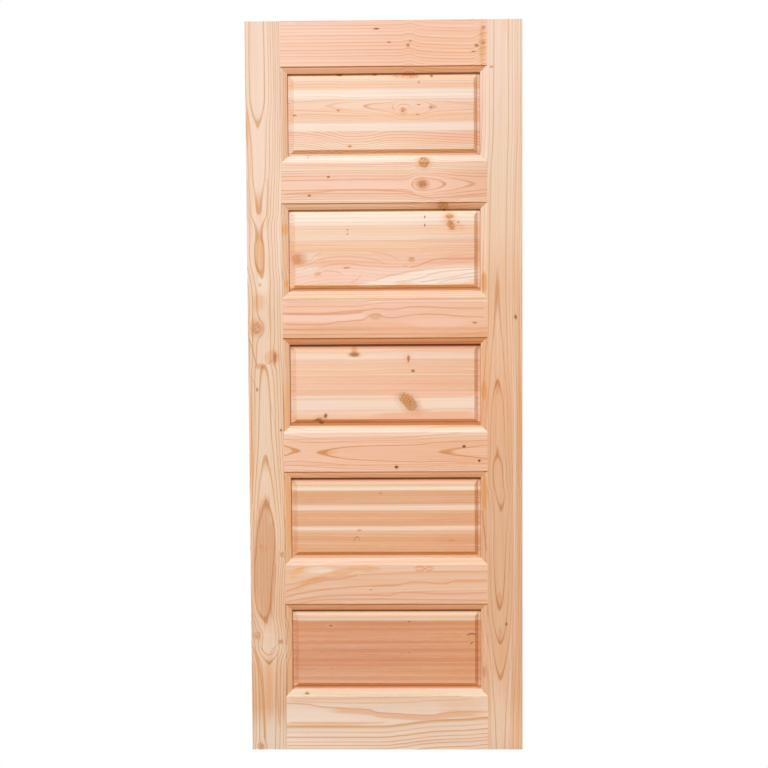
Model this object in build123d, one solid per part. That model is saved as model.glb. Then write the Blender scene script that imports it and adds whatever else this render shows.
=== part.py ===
"""Solid softwood door leaf with five raised and fielded panels, one over the other.

Two stiles and six rails carry the same moulding and groove on both faces. The rails are scribed over
the stiles' moulding, and each panel is glued up from boards and floats in the grooves round it.

The row frame: +X runs from the hinge edge to the lock edge, +Y from the front face to the back face and
+Z up. The origin is on the hinge edge, at the foot of the door, in the middle of its thickness.
Sizes are in millimetres.
"""
from build123d import *
from math import cos, radians, sin
import os

# The leaf
DOOR_WIDTH = 762.0
DOOR_HEIGHT = 2032.0
DOOR_THICKNESS = 35.0

# The frame members, each measured over its moulding
STILE_WIDTH = 115.0
TOP_RAIL_HEIGHT = 142.0
MIDDLE_RAIL_HEIGHT = 146.0
BOTTOM_RAIL_HEIGHT = 170.0
ARRIS_RADIUS = 1.0

# The moulding on the inner edges: a square step down from the face, then a shallow thumb shape
STEP_DEPTH = 1.5
THUMB_WIDTH = 18.0
THUMB_DEPTH = 6.5
THUMB_LEAN = 14.0

# The groove that holds the panels and takes the rails' stub tenons
GROOVE_DEPTH = 10.0
GROOVE_CLEARANCE = 0.3

# The raised panels, which are the same on both faces
TONGUE_THICKNESS = 10.0
TONGUE_REACH = 8.0
MARGIN_WIDTH = 8.0
BEVEL_WIDTH = 10.0
FIELD_THICKNESS = 22.0

# Heights of each panel's upper boards, from its top edge down. The lowest board takes what is left.
UPPER_BOARDS = (
    (80.0, 87.0),
    (80.0, 44.0),
    (94.0, 47.0),
    (44.0, 56.0, 44.0),
    (39.0, 115.0),
)
MIDDLE_RAIL_NAMES = ("second_rail", "third_rail", "fourth_rail", "fifth_rail")

# Worked out from the sizes above
PANEL_COUNT = len(UPPER_BOARDS)
GROOVE_WIDTH = TONGUE_THICKNESS + 2 * GROOVE_CLEARANCE
RAILS_TOGETHER = TOP_RAIL_HEIGHT + (PANEL_COUNT - 1) * MIDDLE_RAIL_HEIGHT + BOTTOM_RAIL_HEIGHT
SIGHT_WIDTH = DOOR_WIDTH - 2 * STILE_WIDTH
SIGHT_HEIGHT = (DOOR_HEIGHT - RAILS_TOGETHER) / PANEL_COUNT


def cutter_waste():
    """Section of the wood cut away by the moulding at one corner.

    The sight edge is at X = 0 and the face at Y = 0, with the wood on the positive side of both. The
    thumb leans THUMB_LEAN degrees where it starts and gets steeper towards the sight edge.
    """
    thumb_top = (THUMB_WIDTH, STEP_DEPTH)
    thumb_foot = (0, STEP_DEPTH + THUMB_DEPTH)
    lean = radians(THUMB_LEAN)
    thumb = TangentArc(thumb_top, thumb_foot, tangent=(-cos(lean), sin(lean)))
    rest = Polyline(thumb_foot, (0, 0), (THUMB_WIDTH, 0), thumb_top)
    return make_face(Curve() + [thumb, rest])


def edge_waste():
    """Section of all that is cut from a moulded and grooved edge at X = 0, with the wood at X < 0."""
    front = Pos(0, -DOOR_THICKNESS / 2) * mirror(cutter_waste(), about=Plane.YZ)
    back = mirror(front, about=Plane.XZ)
    groove = Pos(-GROOVE_DEPTH / 2, 0) * Rectangle(GROOVE_DEPTH, GROOVE_WIDTH)
    return front + back + groove


def member_section(width, low_edge, high_edge):
    """Section across a frame member that starts at X = 0, with the named edges moulded."""
    section = Pos(width / 2, 0) * Rectangle(width, DOOR_THICKNESS)
    if high_edge:
        section -= Pos(width, 0) * edge_waste()
    if low_edge:
        section -= mirror(edge_waste(), about=Plane.YZ)
    return section


def hinge_stile():
    """The full-height stile at the origin's side, with its outer arrises eased."""
    section = member_section(STILE_WIDTH, low_edge=False, high_edge=True)
    outer_corners = section.vertices().group_by(Axis.X)[0]
    return extrude(fillet(outer_corners, ARRIS_RADIUS), DOOR_HEIGHT)


def scribed_rail(stiles, foot, height, low_edge, high_edge):
    """A rail whose foot is at the given height, scribed over both stiles and tenoned into them.

    Its blank runs from the middle of one stile to the middle of the other, and the stiles cut it.
    """
    far_end = DOOR_WIDTH - STILE_WIDTH / 2
    end_plane = Plane(origin=(far_end, 0, foot), x_dir=(0, 0, 1), z_dir=(-1, 0, 0))
    rail = extrude(end_plane * member_section(height, low_edge, high_edge), DOOR_WIDTH - STILE_WIDTH)
    return rail - stiles


def raised_section(sight_size):
    """Section across a raised panel, centred, with its tongues reaching past the sight size."""
    tongue_end = sight_size / 2 + TONGUE_REACH
    bevel_foot = sight_size / 2 - MARGIN_WIDTH
    field_edge = bevel_foot - BEVEL_WIDTH
    one_side = Polyline(
        (-tongue_end, 0),
        (-tongue_end, TONGUE_THICKNESS / 2),
        (-bevel_foot, TONGUE_THICKNESS / 2),
        (-field_edge, FIELD_THICKNESS / 2),
        (field_edge, FIELD_THICKNESS / 2),
        (bevel_foot, TONGUE_THICKNESS / 2),
        (tongue_end, TONGUE_THICKNESS / 2),
        (tongue_end, 0),
        close=True,
    )
    half = make_face(one_side)
    return half + mirror(half, about=Plane.XZ)


def raised_panel(middle):
    """A whole raised panel whose middle is at the given height, with bevels that meet on mitres."""
    reach = TONGUE_REACH
    centre_x = DOOR_WIDTH / 2
    foot_plane = Plane(origin=(centre_x, 0, middle - SIGHT_HEIGHT / 2 - reach), x_dir=(1, 0, 0))
    end_plane = Plane(
        origin=(centre_x + SIGHT_WIDTH / 2 + reach, 0, middle), x_dir=(0, 0, 1), z_dir=(-1, 0, 0)
    )
    upright = extrude(foot_plane * raised_section(SIGHT_WIDTH), SIGHT_HEIGHT + 2 * reach)
    level = extrude(end_plane * raised_section(SIGHT_HEIGHT), SIGHT_WIDTH + 2 * reach)
    return upright & level


def rip_into_boards(panel, upper_heights):
    """The panel's boards from the top down, cut at its glue lines."""
    bounds = panel.bounding_box()
    glue_lines = [bounds.max.Z]
    for height in upper_heights:
        glue_lines.append(glue_lines[-1] - height)
    glue_lines.append(bounds.min.Z)
    boards = []
    for top, foot in zip(glue_lines, glue_lines[1:]):
        slab = Pos(bounds.center().X, 0, (top + foot) / 2) * Box(
            bounds.size.X, FIELD_THICKNESS, top - foot
        )
        boards.append(panel & slab)
    return boards


def rail_row():
    """Each rail's name, height and moulded edges, from the top of the door down."""
    row = [("top_rail", TOP_RAIL_HEIGHT, True, False)]
    row += [(name, MIDDLE_RAIL_HEIGHT, True, True) for name in MIDDLE_RAIL_NAMES]
    row.append(("bottom_rail", BOTTOM_RAIL_HEIGHT, False, True))
    return row


def door():
    """Every piece of the leaf by name."""
    stile = hinge_stile()
    pieces = {
        "hinge_stile": stile,
        "lock_stile": Pos(DOOR_WIDTH, 0, 0) * Rot(0, 0, 180) * stile,
    }
    stiles = list(pieces.values())
    top = DOOR_HEIGHT
    for number, (name, height, low_edge, high_edge) in enumerate(rail_row()):
        foot = top - height
        pieces[name] = scribed_rail(stiles, foot, height, low_edge, high_edge)
        if number < PANEL_COUNT:
            panel = raised_panel(foot - SIGHT_HEIGHT / 2)
            for place, board in enumerate(rip_into_boards(panel, UPPER_BOARDS[number]), 1):
                pieces[f"panel_{number + 1}_board_{place}"] = board
        top = foot - SIGHT_HEIGHT
    return pieces


os.makedirs("parts", exist_ok=True)
for piece_name, piece in door().items():
    export_step(piece, f"parts/{piece_name}.step")
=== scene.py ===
"""Looks of a solid softwood panel door, dressed over its fixed frame of solids.

Every solid keeps its shape. Each board gets its own cut of wood: rings, knots and stained places at
their real spots, in millimetres of the row frame, where X runs along the rails, Y from the front face
to the back and Z up. Blender's own lengths are metres. Painted shade lies in the colour too: a dark
band under each panel's top moulding, darker bands along its sides and at its foot, and darker faces
that slope down, turn right, or are panel bevels facing up.
"""
import logging
import math
from dataclasses import dataclass
from enum import Enum
from typing import ClassVar

import bpy
from mathutils import Matrix, Vector


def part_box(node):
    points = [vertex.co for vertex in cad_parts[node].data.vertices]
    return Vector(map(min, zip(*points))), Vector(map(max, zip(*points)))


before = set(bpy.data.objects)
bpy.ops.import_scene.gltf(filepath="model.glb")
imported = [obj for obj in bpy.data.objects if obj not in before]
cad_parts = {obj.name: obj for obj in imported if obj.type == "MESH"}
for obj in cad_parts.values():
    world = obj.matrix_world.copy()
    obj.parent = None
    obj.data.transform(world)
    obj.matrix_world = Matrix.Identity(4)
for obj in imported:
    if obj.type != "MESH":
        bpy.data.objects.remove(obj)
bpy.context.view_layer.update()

LOG = logging.getLogger("panel_door")

MM = 0.001
HALF_LEAF = 17.5
HALF_FIELD = 11.0
SHOULDER_LOW = 97.0
SHOULDER_HIGH = 665.0
SIGHT = (115.0, 647.0)
# Each panel opening's top sight line in Z, and how far the painted shadow under its top moulding reaches, in
# millimetres.
OPENINGS = ((1890.0, 5.5), (1516.8, 4.5), (1143.6, 18.0), (770.4, 16.0), (397.2, 13.0))
FAR = -999.0

Course = tuple[tuple[float, float], ...]
Socket = bpy.types.NodeSocket
Value = Socket | float | tuple


class Tone(Enum):
    """Colours of sanded softwood and of the shade painted on it, as a painter would mix them, in 0 to 255 steps of red,
    green, blue.
    """

    MILK = (252, 238, 222)
    IVORY = (250, 232, 212)
    CREAM = (247, 225, 201)
    BUFF = (244, 215, 189)
    SHELL = (241, 211, 188)
    ROSE = (247, 207, 182)
    BLUSH = (245, 201, 174)
    PEACH = (246, 203, 167)
    SALMON = (242, 194, 162)
    CORAL = (240, 184, 148)
    ASH = (236, 212, 185)
    SAND = (236, 200, 165)
    FAWN = (230, 185, 146)
    OAT = (234, 204, 173)
    FLESH = (235, 191, 157)
    DUN = (221, 173, 131)
    TAN = (229, 173, 129)
    CLAY = (223, 160, 119)
    BRICK = (216, 148, 107)
    HONEY = (231, 173, 121)
    AMBER = (220, 155, 97)
    FLAME = (243, 178, 114)
    NUT = (217, 164, 121)
    COPPER = (206, 141, 96)
    RUST = (194, 128, 92)
    COCOA = (152, 101, 72)
    BARK = (116, 76, 54)
    # Painted shadow under each panel's top moulding.
    PAINTED_SHADOW = (122, 58, 14)
    # Painted shade along the down-facing bevel at a panel's foot.
    PAINTED_FOOT_SHADE = (196, 124, 70)
    PITCH = (82, 54, 40)
    MOSS = (222, 205, 174)
    GRAIN = (230, 205, 170)
    STRAW = (238, 206, 158)
    PETAL = (236, 197, 180)
    # Multiplied over slopes that face down, as painted shade.
    UNDERSIDE_SHADE = (255, 237, 203)
    EMBER = (243, 212, 178)
    # Multiplied over end grain, and as painted shade over panel bevels that face up.
    SAWN_AND_SHADE = (235, 209, 178)

    @property
    def rgba(self) -> tuple[float, float, float, float]:
        """The colour in Blender's linear light."""
        red, green, blue = (((step / 255 + 0.055) / 1.055) ** 2.4 for step in self.value)
        return (red, green, blue, 1.0)


class Cut(Enum):
    """How a board was sawn from the log."""

    FLAT = "rings arch over the face in long tips"
    QUARTER = "rings run along the face as lines"


class Graph:
    """Writes nodes into one tree, so that an effect reads as a row of steps."""

    def __init__(self, tree: bpy.types.NodeTree) -> None:
        """Starts on a tree.

        Args:
            tree: The node tree that the nodes go into.
        """
        self.tree = tree

    def node(self, kind: str, **settings: object) -> bpy.types.Node:
        """Adds a node.

        Args:
            kind: The node's type name.
            settings: Properties set on the node.

        Returns:
            The new node.
        """
        made = self.tree.nodes.new(kind)
        made.location = (180 * (len(self.tree.nodes) % 12), -220 * (len(self.tree.nodes) // 12))
        for name, value in settings.items():
            setattr(made, name, value)
        return made

    def feed(self, socket: Socket, value: Value) -> None:
        """Links a socket, or sets its own value.

        Args:
            socket: The input to fill.
            value: Another node's output, or a plain value.
        """
        if isinstance(value, bpy.types.NodeSocket):
            self.tree.links.new(value, socket)
        else:
            socket.default_value = value

    def math(self, operation: str, *values: Value, clamp: bool = False) -> Socket:
        """Works out one sum.

        Args:
            operation: The Math node's operation.
            values: Its inputs in order.
            clamp: Whether the result is kept from 0 to 1.

        Returns:
            The result.
        """
        made = self.node("ShaderNodeMath", operation=operation, use_clamp=clamp)
        for socket, value in zip(made.inputs, values):
            self.feed(socket, value)
        return made.outputs[0]

    def rise(self, value: Value, start: Value, end: Value) -> Socket:
        """Goes softly from 0 to 1 as a value passes from start to end.

        Args:
            value: What is compared.
            start: Where the result is still 0.
            end: Where it is 1.

        Returns:
            The result, from 0 to 1.
        """
        made = self.node("ShaderNodeMapRange", interpolation_type="SMOOTHSTEP")
        for name, given in (("Value", value), ("From Min", start), ("From Max", end)):
            self.feed(made.inputs[name], given)
        return made.outputs[0]

    def mix(self, share: Value, first: Value, second: Value, blend: str = "MIX") -> Socket:
        """Mixes two colours.

        Args:
            share: How much of the second one shows.
            first: The colour underneath.
            second: The colour on top.
            blend: The way in which they are mixed.

        Returns:
            The mixed colour.
        """
        made = self.node("ShaderNodeMix", data_type="RGBA", blend_type=blend)
        self.feed(made.inputs[0], share)
        self.feed(made.inputs[6], first)
        self.feed(made.inputs[7], second)
        return made.outputs[2]

    def noise(self, place: tuple, grain: tuple, seed: Value = 0.0, detail: float = 2.0) -> Socket:
        """Noise that is drawn out along the grain.

        Args:
            place: Along, across and depth, in millimetres.
            grain: The length of one patch of noise each way, in millimetres.
            seed: Shifts the noise, so that boards differ.
            detail: Octaves of finer noise.

        Returns:
            A value about 0.5, from 0 to 1.
        """
        joined = self.node("ShaderNodeCombineXYZ")
        for socket, part, length in zip(joined.inputs, place, grain):
            scaled = self.math("DIVIDE", part, length)
            self.feed(socket, scaled)
        made = self.node("ShaderNodeTexNoise", noise_dimensions="4D")
        self.feed(made.inputs["Vector"], joined.outputs[0])
        self.feed(made.inputs["W"], seed)
        made.inputs["Scale"].default_value = 1.0
        made.inputs["Detail"].default_value = detail
        return made.outputs[0]

    def course(self, value: Value, points: Course) -> Value:
        """A smooth curve through given points, or a plain value where it is level.

        Args:
            value: What runs along the curve.
            points: Pairs of that value and the curve's height there.

        Returns:
            The curve's height.
        """
        starts = [point[0] for point in points]
        heights = [point[1] for point in points]
        low, span = min(heights), max(heights) - min(heights)
        if span == 0:
            return float(low)
        share = self.node("ShaderNodeMapRange")
        self.feed(share.inputs["Value"], value)
        share.inputs["From Min"].default_value = starts[0]
        share.inputs["From Max"].default_value = starts[-1]
        curve = self.node("ShaderNodeFloatCurve")
        line = curve.mapping.curves[0]
        while len(line.points) < len(points):
            line.points.new(0.5, 0.5)
        for spot, start, height in zip(line.points, starts, heights):
            spot.location = ((start - starts[0]) / (starts[-1] - starts[0]), (height - low) / span)
            spot.handle_type = "AUTO_CLAMPED"
        curve.mapping.update()
        self.feed(curve.inputs["Value"], share.outputs[0])
        return self.math("MULTIPLY_ADD", curve.outputs[0], span, low)

    def ramp(self, value: Value, stops: tuple[tuple[float, Tone], ...]) -> Socket:
        """A run of tones over a value.

        Args:
            value: What runs over the stops.
            stops: Pairs of that value and the tone there.

        Returns:
            The colour.
        """
        first, last = stops[0][0], stops[-1][0]
        share = self.node("ShaderNodeMapRange")
        self.feed(share.inputs["Value"], value)
        share.inputs["From Min"].default_value = first
        share.inputs["From Max"].default_value = last
        made = self.node("ShaderNodeValToRGB")
        elements = made.color_ramp.elements
        while len(elements) < len(stops):
            elements.new(0.5)
        for element, (place, tone) in zip(elements, stops):
            element.position = (place - first) / (last - first)
            element.color = tone.rgba
        self.feed(made.inputs[0], share.outputs[0])
        return made.outputs[0]

    def place(self, group: bpy.types.NodeTree, values: dict[str, Value]) -> bpy.types.Node:
        """Places a shared effect with its own values.

        Args:
            group: The effect's node group.
            values: Its inputs by name.

        Returns:
            The placed group.
        """
        made = self.node("ShaderNodeGroup", node_tree=group)
        for name, value in values.items():
            self.feed(made.inputs[name], value)
        return made


class Effect(Graph):
    """A shader node group under construction, with named inputs and outputs."""

    KINDS = {"value": "NodeSocketFloat", "colour": "NodeSocketColor", "vector": "NodeSocketVector"}

    def __init__(self, name: str, inputs: dict[str, str], outputs: dict[str, str]) -> None:
        """Makes the empty group.

        Args:
            name: The group's name.
            inputs: Each input's name and kind.
            outputs: Each output's name and kind.
        """
        super().__init__(bpy.data.node_groups.new(name, "ShaderNodeTree"))
        for in_out, sockets in (("INPUT", inputs), ("OUTPUT", outputs)):
            for label, kind in sockets.items():
                self.tree.interface.new_socket(label, in_out=in_out, socket_type=self.KINDS[kind])
        self.start = self.node("NodeGroupInput")
        self.end = self.node("NodeGroupOutput")

    def take(self, name: str) -> Socket:
        """One of the group's inputs."""
        return self.start.outputs[name]

    def takes(self, *names: str) -> tuple[Socket, ...]:
        """Several of the group's inputs."""
        return tuple(self.take(name) for name in names)

    def give(self, name: str, value: Value) -> None:
        """Hands a value to one of the group's outputs."""
        self.feed(self.end.inputs[name], value)


def values(*names: str) -> dict[str, str]:
    """Sockets of one plain value each, by name."""
    return {name: "value" for name in names}


class Effects:
    """The shared effects, each built once."""

    KNOT_LEAN = 0.12
    HALO_REACH = 2.3
    LINE_GAIN = 1.5

    def __init__(self) -> None:
        """Builds every group."""
        self.axes = self.build_axes()
        self.knot = self.build_knot()
        self.radius = self.build_radius()
        self.lines = self.build_lines()
        self.wood = self.build_wood()
        self.heart = self.build_heart()
        self.patch = self.build_stain()
        self.streak = self.build_streak()
        self.joint = self.build_joint()

    def build_axes(self) -> bpy.types.NodeTree:
        """Turns a place into millimetres along, across and through the board."""
        effect = Effect("Board axes", {"Place": "vector", "Upright": "value"}, values("Along", "Across", "Depth"))
        split = effect.node("ShaderNodeSeparateXYZ")
        effect.feed(split.inputs[0], effect.take("Place"))
        level, depth, height = (effect.math("DIVIDE", part, MM) for part in split.outputs)
        turn = effect.math("MULTIPLY", effect.math("SUBTRACT", height, level), effect.take("Upright"))
        effect.give("Along", effect.math("ADD", level, turn))
        effect.give("Across", effect.math("SUBTRACT", height, turn))
        effect.give("Depth", depth)
        return effect.tree

    def build_knot(self) -> bpy.types.NodeTree:
        """Adds one knot: how near it is, how dark, and how far it bends the rings."""
        chain = ("Nearest", "Push", "Rise", "Ink")
        effect = Effect(
            "Knot",
            values(
                "Along", "Across", "Depth", "Knot Along", "Knot Across", "Length", "Width", "Slant",
                "Spread", "Lift", "Reach", "Darkness", *chain,
            ),
            values(*chain),
        )
        along, across, depth = effect.takes("Along", "Across", "Depth")
        off_along = effect.math("SUBTRACT", along, effect.take("Knot Along"))
        under = effect.math("ADD", depth, HALF_LEAF)
        off_along = effect.math("MULTIPLY_ADD", under, -self.KNOT_LEAN, off_along)
        off_across = effect.math("SUBTRACT", across, effect.take("Knot Across"))
        cosine = effect.math("COSINE", effect.take("Slant"))
        sine = effect.math("SINE", effect.take("Slant"))
        turned_along = effect.math(
            "MULTIPLY_ADD", off_across, sine, effect.math("MULTIPLY", off_along, cosine)
        )
        turned_across = effect.math(
            "SUBTRACT", effect.math("MULTIPLY", off_across, cosine), effect.math("MULTIPLY", off_along, sine)
        )
        part_along = effect.math("DIVIDE", turned_along, effect.take("Length"))
        part_across = effect.math("DIVIDE", turned_across, effect.take("Width"))
        square = effect.math(
            "MULTIPLY_ADD", part_along, part_along, effect.math("MULTIPLY", part_across, part_across)
        )
        reach = effect.math("MULTIPLY", effect.take("Reach"), effect.take("Reach"))
        fade = effect.math("EXPONENT", effect.math("DIVIDE", effect.math("MULTIPLY", square, -1.0), reach))
        bend = effect.math("MULTIPLY", effect.math("MULTIPLY", off_across, effect.take("Spread")), fade)
        effect.give("Push", effect.math("ADD", effect.take("Push"), bend))
        effect.give("Rise", effect.math("MULTIPLY_ADD", effect.take("Lift"), fade, effect.take("Rise")))
        near = effect.math("SQRT", square)
        closer = effect.math("LESS_THAN", near, effect.take("Nearest"))
        effect.give("Nearest", effect.math("MINIMUM", near, effect.take("Nearest")))
        change = effect.math("SUBTRACT", effect.take("Darkness"), effect.take("Ink"))
        effect.give("Ink", effect.math("MULTIPLY_ADD", change, closer, effect.take("Ink")))
        return effect.tree

    def build_radius(self) -> bpy.types.NodeTree:
        """The distance from the heart of the log, with the wander of real timber."""
        effect = Effect(
            "Ring radius",
            values(
                "Along", "Across", "Depth", "Push", "Rise", "Centre", "Pith Depth", "Straight",
                "Face", "Lean", "Wander", "Wander Length", "Seed",
            ),
            values("Radius", "Across Grain"),
        )
        along, across, depth = effect.takes("Along", "Across", "Depth")
        length = effect.take("Wander Length")
        width = effect.math("MULTIPLY", length, 0.3)
        broad = effect.noise((along, across, depth), (length, width, width), effect.take("Seed"), 1.0)
        fine_length = effect.math("MULTIPLY", length, 0.27)
        fine_width = effect.math("MULTIPLY", length, 0.12)
        fine = effect.noise(
            (along, across, depth), (fine_length, fine_width, fine_width), effect.take("Seed"), 1.0
        )
        both = effect.math("MULTIPLY_ADD", effect.math("SUBTRACT", fine, 0.5), 0.4, effect.math("SUBTRACT", broad, 0.5))
        sway = effect.math("MULTIPLY", effect.math("MULTIPLY", both, 2.0), effect.take("Wander"))
        steady = effect.math("SUBTRACT", across, effect.take("Push"))
        swayed = effect.math("ADD", steady, sway)
        effect.give("Across Grain", swayed)
        aside = effect.math("SUBTRACT", swayed, effect.take("Centre"))
        below = effect.math("SUBTRACT", depth, effect.take("Pith Depth"))
        square = effect.math("MULTIPLY_ADD", aside, aside, effect.math("MULTIPLY", below, below))
        arched = effect.math("ADD", effect.math("SQRT", square), effect.math("MULTIPLY", sway, 0.25))
        under = effect.math("SUBTRACT", depth, effect.take("Face"))
        level = effect.math("MULTIPLY_ADD", under, effect.take("Lean"), aside)
        change = effect.math("SUBTRACT", level, arched)
        radius = effect.math("MULTIPLY_ADD", change, effect.take("Straight"), arched)
        effect.give("Radius", effect.math("ADD", radius, effect.take("Rise")))
        return effect.tree

    def build_lines(self) -> bpy.types.NodeTree:
        """The dark late wood of each ring, and a tint that differs from ring to ring."""
        effect = Effect("Ring lines", values("Count", "Late Share", "Seed"), values("Late", "Tint"))
        count = effect.take("Count")
        phase = effect.math("FRACT", effect.math("ADD", count, 0.94))
        start = effect.math("SUBTRACT", 0.93, effect.take("Late Share"))
        darken = effect.rise(phase, start, 0.93)
        clear = effect.math("SUBTRACT", 1.0, effect.rise(phase, 0.95, 1.0))
        effect.give("Late", effect.math("MULTIPLY", effect.math("POWER", darken, 1.5), clear))
        ring = effect.math("ADD", effect.math("FLOOR", effect.math("ADD", count, 0.94)), effect.take("Seed"))
        chance = effect.node("ShaderNodeTexWhiteNoise", noise_dimensions="1D")
        effect.feed(chance.inputs["W"], ring)
        effect.give("Tint", effect.math("SUBTRACT", chance.outputs[0], 0.5))
        return effect.tree

    def build_wood(self) -> bpy.types.NodeTree:
        """Clean wood: ground, ring lines, streaks and fibres, darker where the grain ends, with painted shade on slopes
        that face down, on panel bevels that face up, and more on faces turned to the right.
        """
        effect = Effect(
            "Softwood",
            {
                "Ground": "colour", "Line": "colour",
                **values("Late", "Tint", "Line Strength", "Streaks", "Along", "Across", "Depth", "Seed", "End Grain And Shade", "Underside Shade"),
            },
            {"Color": "colour", **values("Height", "Roughness")},
        )
        place = effect.takes("Along", "Across", "Depth")
        seed = effect.take("Seed")
        streak = effect.math("SUBTRACT", effect.noise(place, (420.0, 4.5, 4.5), seed, 2.0), 0.5)
        fibre = effect.math("SUBTRACT", effect.noise(place, (30.0, 0.9, 0.9), seed, 2.0), 0.5)
        cloud = effect.math("SUBTRACT", effect.noise(place, (150.0, 40.0, 40.0), seed, 1.0), 0.5)
        blush = effect.math("SUBTRACT", effect.noise(place, (260.0, 16.0, 16.0), effect.math("ADD", seed, 5.0), 2.0), 0.5)
        uneven = effect.math("MULTIPLY_ADD", effect.take("Tint"), 0.5, 1.0)
        broken = effect.math("MULTIPLY_ADD", cloud, 0.9, uneven)
        wanted = effect.math("MULTIPLY", effect.take("Line Strength"), self.LINE_GAIN)
        late = effect.math("MULTIPLY", effect.take("Late"), broken)
        strength = effect.math("MULTIPLY", late, wanted, clamp=True)
        lined = effect.mix(strength, effect.take("Ground"), effect.take("Line"))
        streak_share = effect.math("MULTIPLY", streak, effect.take("Streaks"))
        warm = effect.math("MULTIPLY_ADD", effect.take("Tint"), 0.2, streak_share)
        share = effect.math("MULTIPLY_ADD", fibre, 0.5, warm)
        down = effect.math("MAXIMUM", share, 0.0)
        up = effect.math("MAXIMUM", effect.math("MULTIPLY", share, -1.0), 0.0)
        deeper = effect.mix(down, lined, effect.mix(1.0, lined, Tone.STRAW.rgba, "MULTIPLY"))
        paler = effect.mix(up, deeper, Tone.IVORY.rgba)
        pink_share = effect.math("MAXIMUM", effect.math("MULTIPLY", blush, effect.take("Streaks")), 0.0)
        pinker = effect.mix(pink_share, paler, Tone.PETAL.rgba)
        # Darker where the grain ends, with painted shade on panel bevels that face up and on faces turned to the right.
        ended = effect.mix(effect.take("End Grain And Shade"), pinker, effect.mix(1.0, pinker, Tone.SAWN_AND_SHADE.rgba, "MULTIPLY"))
        # Painted shade: slopes that face down are darker and warmer.
        under = effect.mix(effect.take("Underside Shade"), ended, effect.mix(1.0, ended, Tone.UNDERSIDE_SHADE.rgba, "MULTIPLY"))
        effect.give("Color", under)
        effect.give("Height", effect.math("MULTIPLY_ADD", fibre, 0.8, effect.take("Late")))
        dull = effect.math("MULTIPLY_ADD", fibre, 0.25, 0.6)
        effect.give("Roughness", effect.math("MULTIPLY_ADD", effect.take("Late"), -0.1, dull))
        return effect.tree

    def build_heart(self) -> bpy.types.NodeTree:
        """Colours the knots: a warm halo, a rim of bark, rings round a dark heart."""
        effect = Effect(
            "Knot wood",
            {"Color": "colour", "Body": "colour", "Rim": "colour", **values("Nearest", "Ink", "Along", "Across", "Depth")},
            {"Color": "colour", "Mask": "value"},
        )
        ink = effect.take("Ink")
        place = effect.takes("Along", "Across", "Depth")
        ragged = effect.math("SUBTRACT", effect.noise(place, (8.0, 5.0, 7.0), 3.0, 2.0), 0.5)
        near = effect.math("MULTIPLY_ADD", ragged, 1.2, effect.take("Nearest"))
        share = effect.math("MINIMUM", effect.math("MULTIPLY", ink, 1.4), 1.0)
        deep = effect.rise(ink, 1.0, 1.3)
        body = effect.math("SUBTRACT", 1.0, effect.rise(near, 0.8, 1.15))
        halo = effect.math("SUBTRACT", 1.0, effect.rise(near, 0.8, self.HALO_REACH))
        past = effect.math("SUBTRACT", 1.0, effect.rise(near, 1.0, 1.2))
        rim = effect.math("MULTIPLY", effect.rise(near, 0.75, 1.0), past)
        turns = effect.math("SINE", effect.math("MULTIPLY", near, 11.5))
        rings = effect.math("POWER", effect.math("MULTIPLY_ADD", turns, 0.5, 0.5), 3.0)
        speck = effect.rise(effect.noise(place, (3.5, 5.5, 4.0), 5.0, 3.0), 0.48, 0.62)
        mottle = effect.noise(place, (9.0, 4.0, 6.0), 11.0, 2.0)
        core = effect.math("SUBTRACT", 1.0, effect.rise(near, 0.5, 0.95))
        body_tone = effect.mix(effect.math("MULTIPLY", mottle, 0.15), effect.take("Body"), effect.take("Rim"))
        wood = effect.mix(deep, body_tone, effect.take("Rim"))
        halo_ink = effect.math("MULTIPLY", halo, share)
        warmed = effect.mix(effect.math("MULTIPLY", halo_ink, 0.45), effect.take("Color"), effect.take("Body"))
        ring_share = effect.math("MULTIPLY", effect.math("MULTIPLY", halo_ink, rings), 0.22)
        circled = effect.mix(ring_share, warmed, effect.take("Rim"))
        filled = effect.mix(effect.math("MULTIPLY", effect.math("MULTIPLY", body, share), 0.95), circled, wood)
        cracks = effect.math("MULTIPLY", effect.math("MULTIPLY", core, speck), share)
        cracked = effect.mix(effect.math("MULTIPLY", cracks, 0.75), filled, effect.take("Rim"))
        rim_share = effect.math("MULTIPLY", effect.math("MULTIPLY", rim, share), 0.45)
        effect.give("Color", effect.mix(rim_share, cracked, effect.take("Rim")))
        effect.give("Mask", effect.math("MULTIPLY", body, ink))
        return effect.tree

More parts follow.
